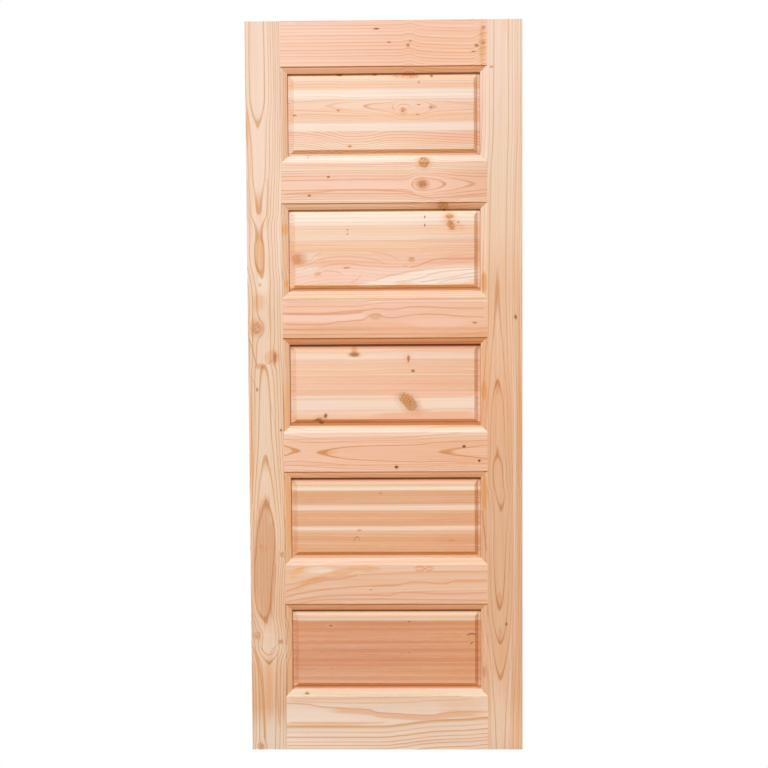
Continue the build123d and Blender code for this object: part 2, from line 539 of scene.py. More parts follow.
    def build_stain(self) -> bpy.types.NodeTree:
        """Lays one tone over a place on the board, with an edge that follows the grain."""
        effect = Effect(
            "Stained and shaded place",
            {
                "Color": "colour", "Tone": "colour",
                **values(
                    "Along", "Across", "Depth", "Stain Along", "Stain Across", "Length", "Width", "Slant",
                    "Softness", "Strength",
                ),
            },
            {"Color": "colour"},
        )
        place = effect.takes("Along", "Across", "Depth")
        off_along = effect.math("SUBTRACT", place[0], effect.take("Stain Along"))
        off_across = effect.math("SUBTRACT", place[1], effect.take("Stain Across"))
        cosine = effect.math("COSINE", effect.take("Slant"))
        sine = effect.math("SINE", effect.take("Slant"))
        turned_along = effect.math("MULTIPLY_ADD", off_across, sine, effect.math("MULTIPLY", off_along, cosine))
        turned_across = effect.math(
            "SUBTRACT", effect.math("MULTIPLY", off_across, cosine), effect.math("MULTIPLY", off_along, sine)
        )
        part_along = effect.math("DIVIDE", turned_along, effect.take("Length"))
        part_across = effect.math("DIVIDE", turned_across, effect.take("Width"))
        square = effect.math(
            "MULTIPLY_ADD", part_along, part_along, effect.math("MULTIPLY", part_across, part_across)
        )
        ragged = effect.math("SUBTRACT", effect.noise(place, (60.0, 5.0, 5.0), 7.0, 2.0), 0.5)
        near = effect.math("MULTIPLY_ADD", ragged, 0.7, effect.math("SQRT", square))
        soft = effect.take("Softness")
        mask = effect.rise(near, effect.math("ADD", 1.0, soft), effect.math("SUBTRACT", 1.0, soft))
        share = effect.math("MULTIPLY", mask, effect.take("Strength"))
        effect.give("Color", effect.mix(share, effect.take("Color"), effect.take("Tone")))
        return effect.tree

    def build_streak(self) -> bpy.types.NodeTree:
        """Draws one line or band along a path, sharp or soft on either side, fading at its ends."""
        effect = Effect(
            "Streak",
            {
                "Color": "colour", "Tone": "colour",
                **values("Along", "Across", "Path", "Start", "End", "Fade", "Above", "Core", "Below", "Strength"),
            },
            {"Color": "colour"},
        )
        along, start, end, fade = effect.takes("Along", "Start", "End", "Fade")
        off = effect.math("SUBTRACT", effect.take("Across"), effect.take("Path"))
        over = effect.math("SUBTRACT", 1.0, effect.rise(off, 0.0, effect.take("Above")))
        core = effect.math("MULTIPLY", effect.take("Core"), -1.0)
        foot = effect.math("SUBTRACT", core, effect.take("Below"))
        under = effect.rise(off, foot, core)
        begun = effect.rise(along, start, effect.math("ADD", start, fade))
        ended = effect.math("SUBTRACT", 1.0, effect.rise(along, effect.math("SUBTRACT", end, fade), end))
        width = effect.math("MULTIPLY", over, under)
        length = effect.math("MULTIPLY", begun, ended)
        share = effect.math("MULTIPLY", effect.math("MULTIPLY", width, length), effect.take("Strength"))
        effect.give("Color", effect.mix(share, effect.take("Color"), effect.take("Tone")))
        return effect.tree

    def build_joint(self) -> bpy.types.NodeTree:
        """Draws the thin line where a board meets its neighbour; the same group also lays the bands of painted shade
        round a panel.
        """
        effect = Effect(
            "Joint line and edge shade",
            {
                "Color": "colour", "Tone": "colour",
                **values("Along", "Across", "Low End", "High End", "Low Edge", "High Edge", "Width", "Strength"),
            },
            {"Color": "colour"},
        )
        gaps = []
        for place, edge in (("Along", "Low End"), ("Along", "High End"), ("Across", "Low Edge"), ("Across", "High Edge")):
            apart = effect.math("SUBTRACT", effect.take(place), effect.take(edge))
            gaps.append(effect.math("ABSOLUTE", apart))
        ends = effect.math("MINIMUM", gaps[0], gaps[1])
        edges = effect.math("MINIMUM", gaps[2], gaps[3])
        nearest = effect.math("MINIMUM", ends, edges)
        mask = effect.rise(nearest, effect.take("Width"), 0.0)
        share = effect.math("MULTIPLY", mask, effect.take("Strength"))
        effect.give("Color", effect.mix(share, effect.take("Color"), effect.take("Tone")))
        return effect.tree


@dataclass(frozen=True)
class Knot:
    """A place on the board laid with one tone, with its half sizes: mostly the wood's own stained places, and on the
    panels also painted shade along the sides.
    """

    along: float
    across: float
    length: float
    width: float
    darkness: float = 0.8
    spread: float = 0.0
    lift: float = 0.0
    reach: float = 2.2
    slant: float = 0.0


@dataclass(frozen=True)
class StainAndShade:
    """A place on the board with a tone of its own, with its half sizes."""

    along: float
    across: float
    length: float
    width: float
    tone: Tone
    strength: float = 0.7
    softness: float = 0.35
    slant: float = 0.0


@dataclass(frozen=True)
class Streak:
    """A line or band drawn along a path of places along and across the board."""

    path: Course
    tone: Tone
    strength: float = 0.55
    above: float = 1.2
    core: float = 0.0
    below: float = 2.6
    fade: float = 18.0


@dataclass(frozen=True)
class Figure:
    """How the rings run through a board. Radii count from the heart of the log, or from Z or X = 0."""

    cut: Cut
    rings: tuple[float, ...]
    inner_step: float
    outer_step: float
    centre: Course
    reach: Course = ((0.0, 40.0), (1.0, 40.0))
    lean: float = 0.25
    wander: float = 1.5
    wander_length: float = 260.0

    def ring_course(self, low: float, high: float) -> Course:
        """Ring number by radius, with the given rings carried on evenly both ways.

        Args:
            low: The smallest radius in the board.
            high: The largest radius in the board.

        Returns:
            Pairs of radius and ring number.
        """
        marks = list(self.rings)
        while marks[0] > low:
            marks.insert(0, marks[0] - self.inner_step * (1 + 0.2 * math.sin(2.3 * len(marks))))
        while marks[-1] < high:
            marks.append(marks[-1] + self.outer_step * (1 + 0.2 * math.sin(2.3 * len(marks))))
        return tuple((mark, float(number)) for number, mark in enumerate(marks))


@dataclass(frozen=True)
class Finish:
    """The colouring of one board's wood."""

    tones: tuple[tuple[float, Tone], ...]
    drift: tuple[tuple[float, Tone], ...] = ()
    drift_share: float = 0.0
    line: Tone = Tone.GRAIN
    line_strength: float = 0.6
    late_share: float = 0.4
    streaks: float = 0.9
    tones_by_radius: bool = False
    body: Tone = Tone.AMBER
    rim: Tone = Tone.BARK
    joint: Tone = Tone.COCOA
    joint_strength: float = 0.25
    bump: float = 0.25


@dataclass
class Board:
    """One piece of timber: its place, its figure, its colouring and the marks on it."""

    node: str
    figure: Figure
    finish: Finish
    knots: tuple[Knot, ...] = ()
    stains_and_shade: tuple[StainAndShade, ...] = ()
    streaks: tuple[Streak, ...] = ()
    upright: bool = False
    half_thickness: float = HALF_LEAF
    joint_ends: tuple[float, float] = (FAR, FAR)
    joint_width: float = 0.7
    # For a panel board: the opening's top sight line, and how far the painted shadow under the top moulding reaches.
    opening: tuple[float, float] = ()
    seed: float = 0.0
    RIGHT_END_AND_SHADE_SHARE: ClassVar[float] = 1.3
    TOP_BEVEL_SHADE: ClassVar[float] = 1.4
    STREAK_WOBBLE: ClassVar[float] = 2.2
    # Width of the painted shade bands along both sides of a panel.
    SIDE_SHADE_WIDTH: ClassVar[float] = 3.5
    PAINTED_SHADE_STRENGTH: ClassVar[float] = 0.85

    def limits(self) -> tuple[float, float]:
        """Lowest and highest radius that the figure meets in this board.

        Returns:
            The two radii, in millimetres.
        """
        low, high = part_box(self.node)
        axis = 0 if self.upright else 2
        across = (low[axis] / MM, high[axis] / MM)
        bows = [height for _, height in self.figure.centre]
        if self.figure.cut is Cut.QUARTER:
            return across[0] - max(bows) - 30, across[1] - min(bows) + 30
        reach = max(height for _, height in self.figure.reach)
        aside = max(abs(edge - bow) for edge in across for bow in bows)
        return 0.0, math.hypot(aside, reach) + 20

    def ring_radius(self, graph: Graph, place: dict[str, Value], effects: Effects) -> bpy.types.Node:
        """Places the knots' pull and the ring radius.

        Args:
            graph: The material's graph.
            place: Along, across and depth by name.
            effects: The shared effects.

        Returns:
            The last knot's node, and the ring radius's node.
        """
        pull: dict[str, Value] = {"Nearest": 9.0, "Push": 0.0, "Rise": 0.0, "Ink": 0.0}
        for knot in self.knots:
            placed = graph.place(
                effects.knot,
                {
                    **place, **pull,
                    "Knot Along": knot.along,
                    "Knot Across": knot.across,
                    "Length": knot.length,
                    "Width": knot.width,
                    "Slant": math.radians(knot.slant),
                    "Spread": knot.spread,
                    "Lift": knot.lift,
                    "Reach": knot.reach,
                    "Darkness": knot.darkness,
                },
            )
            pull = {name: placed.outputs[name] for name in pull}
        figure = self.figure
        straight = figure.cut is Cut.QUARTER
        reach = graph.course(place["Along"], figure.reach)
        radius = graph.place(
            effects.radius,
            {
                **place,
                "Push": pull["Push"],
                "Rise": pull["Rise"],
                "Centre": graph.course(place["Along"], figure.centre),
                "Pith Depth": graph.math("SUBTRACT", reach, self.half_thickness),
                "Straight": float(straight),
                "Face": -self.half_thickness,
                "Lean": figure.lean,
                "Wander": figure.wander,
                "Wander Length": figure.wander_length,
                "Seed": self.seed,
            },
        )
        return pull, radius

    def colour(self, graph: Graph, effects: Effects) -> tuple[Socket, Socket, Socket]:
        """Builds the board's colour.

        Args:
            graph: The material's graph.
            effects: The shared effects.

        Returns:
            Colour, surface height and roughness.
        """
        coordinates = graph.node("ShaderNodeTexCoord")
        axes = graph.place(effects.axes, {"Place": coordinates.outputs["Object"], "Upright": float(self.upright)})
        place = {name: axes.outputs[name] for name in ("Along", "Across", "Depth")}
        pull, radius = self.ring_radius(graph, place, effects)
        count = graph.course(radius.outputs["Radius"], self.figure.ring_course(*self.limits()))
        finish = self.finish
        lines = graph.place(
            effects.lines, {"Count": count, "Late Share": finish.late_share, "Seed": self.seed}
        )
        runner = radius.outputs["Radius" if finish.tones_by_radius else "Across Grain"]
        followed = {**place, "Across": radius.outputs["Across Grain"]}
        ground = graph.ramp(runner, finish.tones)
        if finish.drift:
            ground = graph.mix(finish.drift_share, ground, graph.ramp(place["Along"], finish.drift))
        for patch in self.stains_and_shade:
            stained = graph.place(
                effects.patch,
                {
                    **place,
                    "Color": ground,
                    "Tone": patch.tone.rgba,
                    "Stain Along": patch.along,
                    "Stain Across": patch.across,
                    "Length": patch.length,
                    "Width": patch.width,
                    "Slant": math.radians(patch.slant),
                    "Softness": patch.softness,
                    "Strength": patch.strength,
                },
            )
            ground = stained.outputs["Color"]
        ends, underside_shade = self.grain_ends_and_shade(graph)
        wood = graph.place(
            effects.wood,
            {
                **followed,
                "Ground": ground,
                "Line": graph.mix(1.0, ground, finish.line.rgba, "MULTIPLY"),
                "Late": lines.outputs["Late"],
                "Tint": lines.outputs["Tint"],
                "Line Strength": finish.line_strength,
                "Streaks": finish.streaks,
                "Seed": self.seed,
                "End Grain And Shade": ends,
                "Underside Shade": underside_shade,
            },
        )
        colour = wood.outputs["Color"]
        if self.streaks:
            wobble = graph.math("SUBTRACT", graph.noise(tuple(place.values()), (50.0, 9.0, 9.0), self.seed, 2.0), 0.5)
            drawn = graph.math("MULTIPLY_ADD", wobble, self.STREAK_WOBBLE, place["Across"])
            for streak in self.streaks:
                colour = self.draw(graph, effects, streak, colour, place["Along"], drawn)
        if self.knots:
            heart = graph.place(
                effects.heart,
                {
                    **place,
                    "Color": colour,
                    "Body": finish.body.rgba,
                    "Rim": finish.rim.rgba,
                    "Nearest": pull["Nearest"],
                    "Ink": pull["Ink"],
                },
            )
            colour = heart.outputs["Color"]
        colour = self.edge_lines(graph, effects, colour, place)
        return colour, wood.outputs["Height"], wood.outputs["Roughness"]

    def edge_lines(self, graph: Graph, effects: Effects, colour: Socket, place: dict[str, Value]) -> Socket:
        """Draws the lines where the board meets its neighbours, and painted shade round a panel: a painted shadow under
        its top moulding and darker bands along its sides.

        Args:
            graph: The material's graph.
            effects: The shared effects.
            colour: The colour so far.
            place: Along, across and depth by name.

        Returns:
            The colour with the lines on it.
        """
        finish = self.finish
        bottom, top = (corner[2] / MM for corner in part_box(self.node))
        edges = (bottom, top) if self.opening else (FAR, FAR)
        marks = [(finish.joint, finish.joint_strength, self.joint_width, self.joint_ends, edges)]
        if self.opening:
            # Painted shadow under the top moulding, fading downward from the opening's top sight line.
            marks.append((Tone.PAINTED_SHADOW, self.PAINTED_SHADE_STRENGTH, self.opening[1], (FAR, FAR), (FAR, self.opening[0])))
            # Painted shade: darker rust bands along both sides of the panel, next to the stiles.
            marks.append((Tone.RUST, self.PAINTED_SHADE_STRENGTH, self.SIDE_SHADE_WIDTH, SIGHT, (FAR, FAR)))
        for tone, strength, width, ends, sides in marks:
            line = graph.place(
                effects.joint,
                {
                    "Along": place["Along"],
                    "Across": place["Across"],
                    "Color": colour,
                    "Tone": tone.rgba,
                    "Low End": ends[0],
                    "High End": ends[1],
                    "Low Edge": sides[0],
                    "High Edge": sides[1],
                    "Width": width,
                    "Strength": strength,
                },
            )
            colour = line.outputs["Color"]
        return colour

    def draw(
        self, graph: Graph, effects: Effects, streak: Streak, colour: Socket, along: Socket, across: Socket
    ) -> Socket:
        """Lays one streak over the colour.

        Args:
            graph: The material's graph.
            effects: The shared effects.
            streak: The line or band.
            colour: The colour so far.
            along: Millimetres along the board.
            across: Millimetres across the board.

        Returns:
            The colour with the streak on it.
        """
        placed = graph.place(
            effects.streak,
            {
                "Color": colour,
                "Tone": streak.tone.rgba,
                "Along": along,
                "Across": across,
                "Path": graph.course(along, streak.path),
                "Start": streak.path[0][0],
                "End": streak.path[-1][0],
                "Fade": streak.fade,
                "Above": streak.above,
                "Core": streak.core,
                "Below": streak.below,
                "Strength": streak.strength,
            },
        )
        return placed.outputs["Color"]

    def grain_ends_and_shade(self, graph: Graph) -> tuple[Socket, Socket]:
        """How far the cutter opened the grain, from 0 to 1, with painted shade on panel bevels that face up and more on
        faces turned to the right, and the painted shade on slopes that face down.

        Args:
            graph: The material's graph.

        Returns:
            The share of end grain with painted shade, and the share of painted shade on slopes that face down.
        """
        geometry = graph.node("ShaderNodeNewGeometry")
        split = graph.node("ShaderNodeSeparateXYZ")
        graph.feed(split.inputs[0], geometry.outputs["True Normal"])
        along, across = (2, 0) if self.upright else (0, 2)
        # Faces turned to the right get more than those turned to the left: partly end grain, partly painted shade.
        right = graph.math("MULTIPLY", split.outputs[along], self.RIGHT_END_AND_SHADE_SHARE)
        left = graph.math("MULTIPLY", split.outputs[along], -0.9)
        ends = graph.math("MAXIMUM", left, right, clamp=True)
        fielded = self.half_thickness == HALF_FIELD
        # Painted shade on faces that face down: strongest on the panels' bevels, weaker on the rails' mouldings, none
        # on the stiles.
        underside_shade_share = 1.7 if fielded else 0.0 if self.upright else 1.1
        underside_shade = graph.math("MULTIPLY", split.outputs[across], -underside_shade_share, clamp=True)
        # Painted shade on panel bevels that face up.
        painted_top_shade = graph.math("MULTIPLY", split.outputs[across], self.TOP_BEVEL_SHADE if fielded else 0.0)
        return graph.math("MAXIMUM", ends, painted_top_shade, clamp=True), underside_shade

    def dress(self, effects: Effects) -> None:
        """Gives the board its material.

        Args:
            effects: The shared effects.
        """
        material = bpy.data.materials.new(f"{self.node}_wood")
        material.use_nodes = True
        graph = Graph(material.node_tree)
        shader = material.node_tree.nodes["Principled BSDF"]
        colour, height, roughness = self.colour(graph, effects)
        graph.feed(shader.inputs["Base Color"], colour)
        graph.feed(shader.inputs["Roughness"], roughness)
        shader.inputs["Specular IOR Level"].default_value = 0.25
        bump = graph.node("ShaderNodeBump")
        bump.inputs["Strength"].default_value = self.finish.bump
        bump.inputs["Distance"].default_value = 0.2 * MM
        graph.feed(bump.inputs["Height"], height)
        graph.feed(shader.inputs["Normal"], bump.outputs["Normal"])
        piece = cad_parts[self.node]
        piece.data.materials.clear()
        piece.data.materials.append(material)
        LOG.info("%s: %d knots, %d stained places", self.node, len(self.knots), len(self.stains_and_shade))


def streaks(tone: Tone, *paths: Course, **style: float) -> tuple[Streak, ...]:
    """Several lines or bands of one tone and shape.

    Args:
        tone: Their colour.
        paths: Where each one runs.
        style: Other fields that they share.

    Returns:
        One streak for each path.
    """
    return tuple(Streak(path, tone, **style) for path in paths)


@dataclass
class Stiles:
    """The two full-height posts."""

    foot: float = 0.0
    head: float = 2032.0

    def hinge(self) -> Board:
        """The post at the left, with long tips above and a big spindle below."""
        return Board(
            node="hinge_stile",
            upright=True,
            seed=1.0,
            figure=Figure(
                cut=Cut.FLAT,
                rings=(59.6, 64.0, 68.0, 72.0, 76.0, 80.0),
                inner_step=6.2,
                outer_step=4.4,
                centre=(
                    (self.foot, 48), (100, 50), (270, 49), (362, 42), (440, 34), (500, 36), (600, 44), (700, 46),
                    (832, 45), (1100, 44), (1240, 44), (1333, 40), (1400, 34), (1505, 33.5), (1680, 35), (1750, 33.5),
                    (self.head, 32),
                ),
                reach=(
                    (self.foot, 70), (100, 70), (200, 69.3), (245, 68), (270, 64), (300, 60.6), (362, 59.6), (400, 56.5),
                    (440, 55), (540, 53.4), (600, 53.6), (640, 55.8), (708, 59.6), (740, 60.8), (832, 64),
                    (900, 65.5), (1000, 66.3), (1070, 67.2), (1092, 68.2), (1170, 69.2), (1240, 69.5), (1333, 68), (1400, 66.5),
                    (1450, 67.4), (1505, 64), (1560, 63), (1610, 61.6), (1680, 60.8), (1750, 59.6), (1765, 58.7),
                    (1785, 57.5), (1800, 56.6), (1830, 55.6), (1900, 55.4), (self.head, 56.0),
                ),
                wander=1.0,
            ),
            finish=Finish(
                tones=((0.0, Tone.SAND), (40.0, Tone.SHELL), (115.0, Tone.SAND)),
                drift=(
                    (self.foot, Tone.ASH), (50, Tone.ASH), (120, Tone.DUN), (230, Tone.FAWN), (290, Tone.OAT), (390, Tone.FAWN),
                    (640, Tone.SAND), (720, Tone.SAND), (1240, Tone.OAT), (1400, Tone.BUFF), (self.head, Tone.SHELL),
                ),
                drift_share=0.75,
                line_strength=0.95,
                late_share=0.26,
                body=Tone.TAN,
                rim=Tone.COCOA,
            ),
            knots=(
                Knot(1190, 25, 13, 12, 0.75, spread=0.8, lift=3.5, reach=2.0),
                Knot(1108, 74, 14, 4, 1.15, spread=0.6, lift=2.0, reach=2.6),
                Knot(325, 17, 9, 8, 0.45, spread=0.6, lift=2.0),
                Knot(308, 83, 5, 5, 1.05, spread=0.5),
                Knot(8, 25, 8, 8, 0.6, spread=0.5, lift=2.0),
                Knot(1018, 24, 4, 3, 1.15),
                Knot(905, 90, 3, 3, 1.25),
                Knot(555, 89, 5, 5, 0.75, spread=0.6),
                Knot(1310, 35, 4, 3, 0.45),
                Knot(578, 30, 3, 4, 0.65),
            ),
            stains_and_shade=(
                StainAndShade(1395, 34, 60, 12, Tone.HONEY, 0.75, 0.3),
                StainAndShade(1463, 106, 15, 9, Tone.FLAME, 0.95, 0.5),
                StainAndShade(1313, 108, 10, 6, Tone.FLAME, 0.95, 0.5),
                StainAndShade(1262, 30, 26, 15, Tone.TAN, 0.6, 0.4),
                StainAndShade(1312, 42, 26, 14, Tone.CREAM, 0.6, 0.6),
                StainAndShade(1535, 34, 34, 8, Tone.TAN, 0.5, 0.4),
                StainAndShade(1745, 4, 50, 6, Tone.HONEY, 0.6, 0.5),
                StainAndShade(1190, 25, 26, 24, Tone.TAN, 0.55, 0.35),
                StainAndShade(1108, 68, 20, 20, Tone.HONEY, 0.8, 0.4),
                StainAndShade(1084, 32, 8, 12, Tone.AMBER, 0.8, 0.4),
                StainAndShade(850, 8, 170, 4, Tone.HONEY, 0.5, 0.6),
                StainAndShade(700, 44, 18, 9, Tone.HONEY, 0.6, 0.4),
                StainAndShade(812, 45, 24, 9, Tone.TAN, 0.6, 0.4),
                StainAndShade(535, 41, 178, 30, Tone.NUT, 0.95, 0.15),
                StainAndShade(900, 44, 120, 22, Tone.ASH, 0.5, 0.6),
                StainAndShade(577, 30, 9, 6, Tone.AMBER, 0.6, 0.5),
                StainAndShade(572, 42, 9, 6, Tone.AMBER, 0.6, 0.5),
                StainAndShade(165, 48, 80, 8, Tone.HONEY, 0.7, 0.5),
                StainAndShade(30, 45, 60, 40, Tone.ASH, 0.6, 0.7),
                StainAndShade(327, 40, 5, 22, Tone.BLUSH, 0.6, 0.5),
            ),
            streaks=(
                *streaks(Tone.FLAME, ((self.foot, 114), (self.head, 114)), strength=0.4, above=3.0, core=10.0, below=6.0),
                *streaks(
                    Tone.FLAME, ((560, 114), (870, 114), (1065, 114)),
                    strength=0.6, above=3.0, core=10.0, below=6.0, fade=70.0,
                ),
                *streaks(Tone.RUST, ((570, 116), (900, 116), (1300, 116)), strength=0.5, above=1.0, below=2.5, fade=60.0),
                *streaks(
                    Tone.DUN,
                    ((1450, 20), (1510, 8), (1620, 3)),
                    ((1450, 50), (1500, 60), (1560, 62), (1620, 56)),
                    strength=0.45, above=2.5, core=3.0, below=3.0, fade=40.0,
                ),
                *streaks(
                    Tone.CLAY,
                    ((1600, 12), (1680, 13), (1740, 10), (1795, 5)),
                    ((740, 8), (820, 15), (900, 20), (1015, 20)),
                    ((700, 88), (850, 80), (900, 75), (965, 65), (1015, 58)),
                    ((1150, 50), (1200, 60), (1280, 50)),
                    ((832, 45), (780, 58), (700, 66)),
                    ((832, 45), (780, 32), (720, 24)),
                ),
                *streaks(
                    Tone.AMBER,
                    ((20, 39), (80, 37), (180, 31), (250, 21), (300, 7)),
                    strength=0.75, above=2.0, core=4.0, below=4.0,
                ),
                *streaks(Tone.AMBER, ((60, 79), (120, 75), (200, 72), (290, 76)), strength=0.6, above=1.5, core=1.5),
                *streaks(Tone.COPPER, ((268, 50), (280, 35), (302, 22)), ((268, 50), (285, 60), (304, 76)), strength=0.7, core=1.0),
                *streaks(
                    Tone.COCOA, ((1085, 40), (1088, 50), (1104, 70)), ((1085, 24), (1120, 15), (1165, 3)),
                    ((1096, 70), (1112, 73), (1126, 76)), ((1098, 76), (1108, 79), (1120, 80)),
                    strength=0.7, fade=5.0,
                ),
                *streaks(Tone.RUST, ((1020, 25), (1040, 15), (1062, 3)), ((295, 100), (372, 105)), strength=0.5, fade=5.0),
                *streaks(Tone.AMBER, ((690, 8), (800, 9), (1015, 6)), ((300, 9), (400, 6), (560, 8), (690, 14)), strength=0.5, core=0.5),
                *streaks(
                    Tone.COPPER,
                    ((362, 42), (390, 26), (430, 16), (500, 12), (600, 15), (660, 24), (700, 38)),
                    ((362, 42), (390, 56), (440, 60), (520, 68), (600, 70), (660, 64), (706, 48)),
                    strength=0.55, above=1.5, below=2.5,
                ),
            ),
        )

    def lock(self) -> Board:
        """The post at the right, with up and down tips about a closed oval."""
        return Board(
            node="lock_stile",
            upright=True,
            seed=2.0,
            figure=Figure(
                cut=Cut.FLAT,
                rings=(38.0, 43.4, 48.8, 54.2, 59.2, 63.5),
                inner_step=8.0,
                outer_step=4.6,
                centre=(
                    (self.foot, 700), (302, 700), (400, 698), (550, 698), (683, 702), (750, 695), (838, 693), (1319, 693),
                    (1450, 695), (1620, 698), (1820, 704), (self.head, 704),
                ),
                reach=(
                    (self.foot, 58), (100, 57), (202, 54.2), (302, 48.8), (350, 46), (400, 43.4), (450, 41.8),
                    (560, 39.9), (640, 39), (683, 38), (720, 36), (775, 35.3), (838, 38), (890, 38.6), (950, 39.7),
                    (1040, 43.4), (1135, 46.4), (1200, 47.8), (1319, 48.8), (1450, 49.1), (1550, 49), (1700, 49.8),
                    (1820, 50), (self.head, 50.4),
                ),
                wander=1.0,
                wander_length=400,
            ),
            finish=Finish(
                tones=((647.0, Tone.SHELL), (728.0, Tone.SHELL), (762.0, Tone.SAND)),
                drift=(
                    (self.foot, Tone.FAWN), (60, Tone.FAWN), (150, Tone.DUN), (560, Tone.DUN), (760, Tone.DUN), (1000, Tone.TAN),
                    (1150, Tone.FAWN), (1300, Tone.FAWN), (1450, Tone.SAND), (1600, Tone.OAT), (1900, Tone.SHELL),
                    (self.head, Tone.SHELL),
                ),
                drift_share=0.9,
                line_strength=0.65,
                late_share=0.18,
                rim=Tone.COCOA,
            ),
            knots=(
                Knot(1217, 743, 6, 3, 1.25),
                Knot(357, 717, 5, 3, 1.25),
                Knot(1903, 678, 3, 4, 0.45),
            ),
            stains_and_shade=(
                StainAndShade(1285, 693, 34, 6, Tone.CLAY, 0.45, 0.4),
                StainAndShade(1210, 692, 32, 9, Tone.SALMON, 0.6, 0.5),
                StainAndShade(1022, 694, 20, 5, Tone.BRICK, 0.6, 0.4),
                StainAndShade(820, 693, 18, 5, Tone.CLAY, 0.5, 0.4),
                StainAndShade(425, 698, 26, 7, Tone.BRICK, 0.7, 0.4),
                StainAndShade(325, 700, 22, 7, Tone.COPPER, 0.4, 0.4),
                StainAndShade(70, 698, 120, 26, Tone.OAT, 0.8, 0.7),
                StainAndShade(1312, 656, 28, 8, Tone.AMBER, 0.9, 0.3),
                StainAndShade(1014, 656, 26, 8, Tone.AMBER, 0.9, 0.3),
                StainAndShade(725, 656, 46, 9, Tone.AMBER, 0.9, 0.3),
                StainAndShade(220, 655, 18, 5, Tone.COPPER, 0.7, 0.4),
                StainAndShade(900, 740, 420, 4, Tone.MOSS, 0.6, 0.5),
                StainAndShade(700, 753, 560, 4, Tone.AMBER, 0.35, 0.5),
                StainAndShade(1700, 757, 260, 6, Tone.SALMON, 0.6, 0.5),
                StainAndShade(1960, 745, 70, 24, Tone.ASH, 0.6, 0.6),
                StainAndShade(2015, 715, 20, 10, Tone.BLUSH, 0.5, 0.6),
                StainAndShade(765, 694, 56, 9, Tone.TAN, 0.6, 0.3),
            ),
            streaks=(
                *streaks(
                    Tone.AMBER, ((540, 659), (900, 659), (1330, 659)),
                    strength=0.35, above=6.0, core=8.0, below=4.0, fade=120.0,
                ),
                *streaks(
                    Tone.DUN,
                    ((1280, 668), (1450, 672), (1550, 670), (1620, 675), (1700, 680), (1820, 683)),
                    ((1330, 738), (1560, 742), (1760, 750)),
                    ((1160, 720), (1230, 717), (1380, 718), (1560, 720), (1700, 723), (1810, 725)),
                    ((1740, 650), (1850, 660)),
                    ((380, 732), (700, 731), (1200, 733)),
                    ((380, 725), (700, 723), (1100, 726)),
                    fade=60.0,
                ),
                *streaks(Tone.RUST, ((560, 663), (600, 659), (680, 650)), strength=0.7, above=2.0, core=1.5, fade=8.0),
                *streaks(Tone.COPPER, ((990, 650), (1010, 655), (1038, 657)), ((1290, 652), (1338, 656)), strength=0.6),
            ),
        )

    def boards(self) -> list[Board]:
        """Both posts."""
        return [self.hinge(), self.lock()]


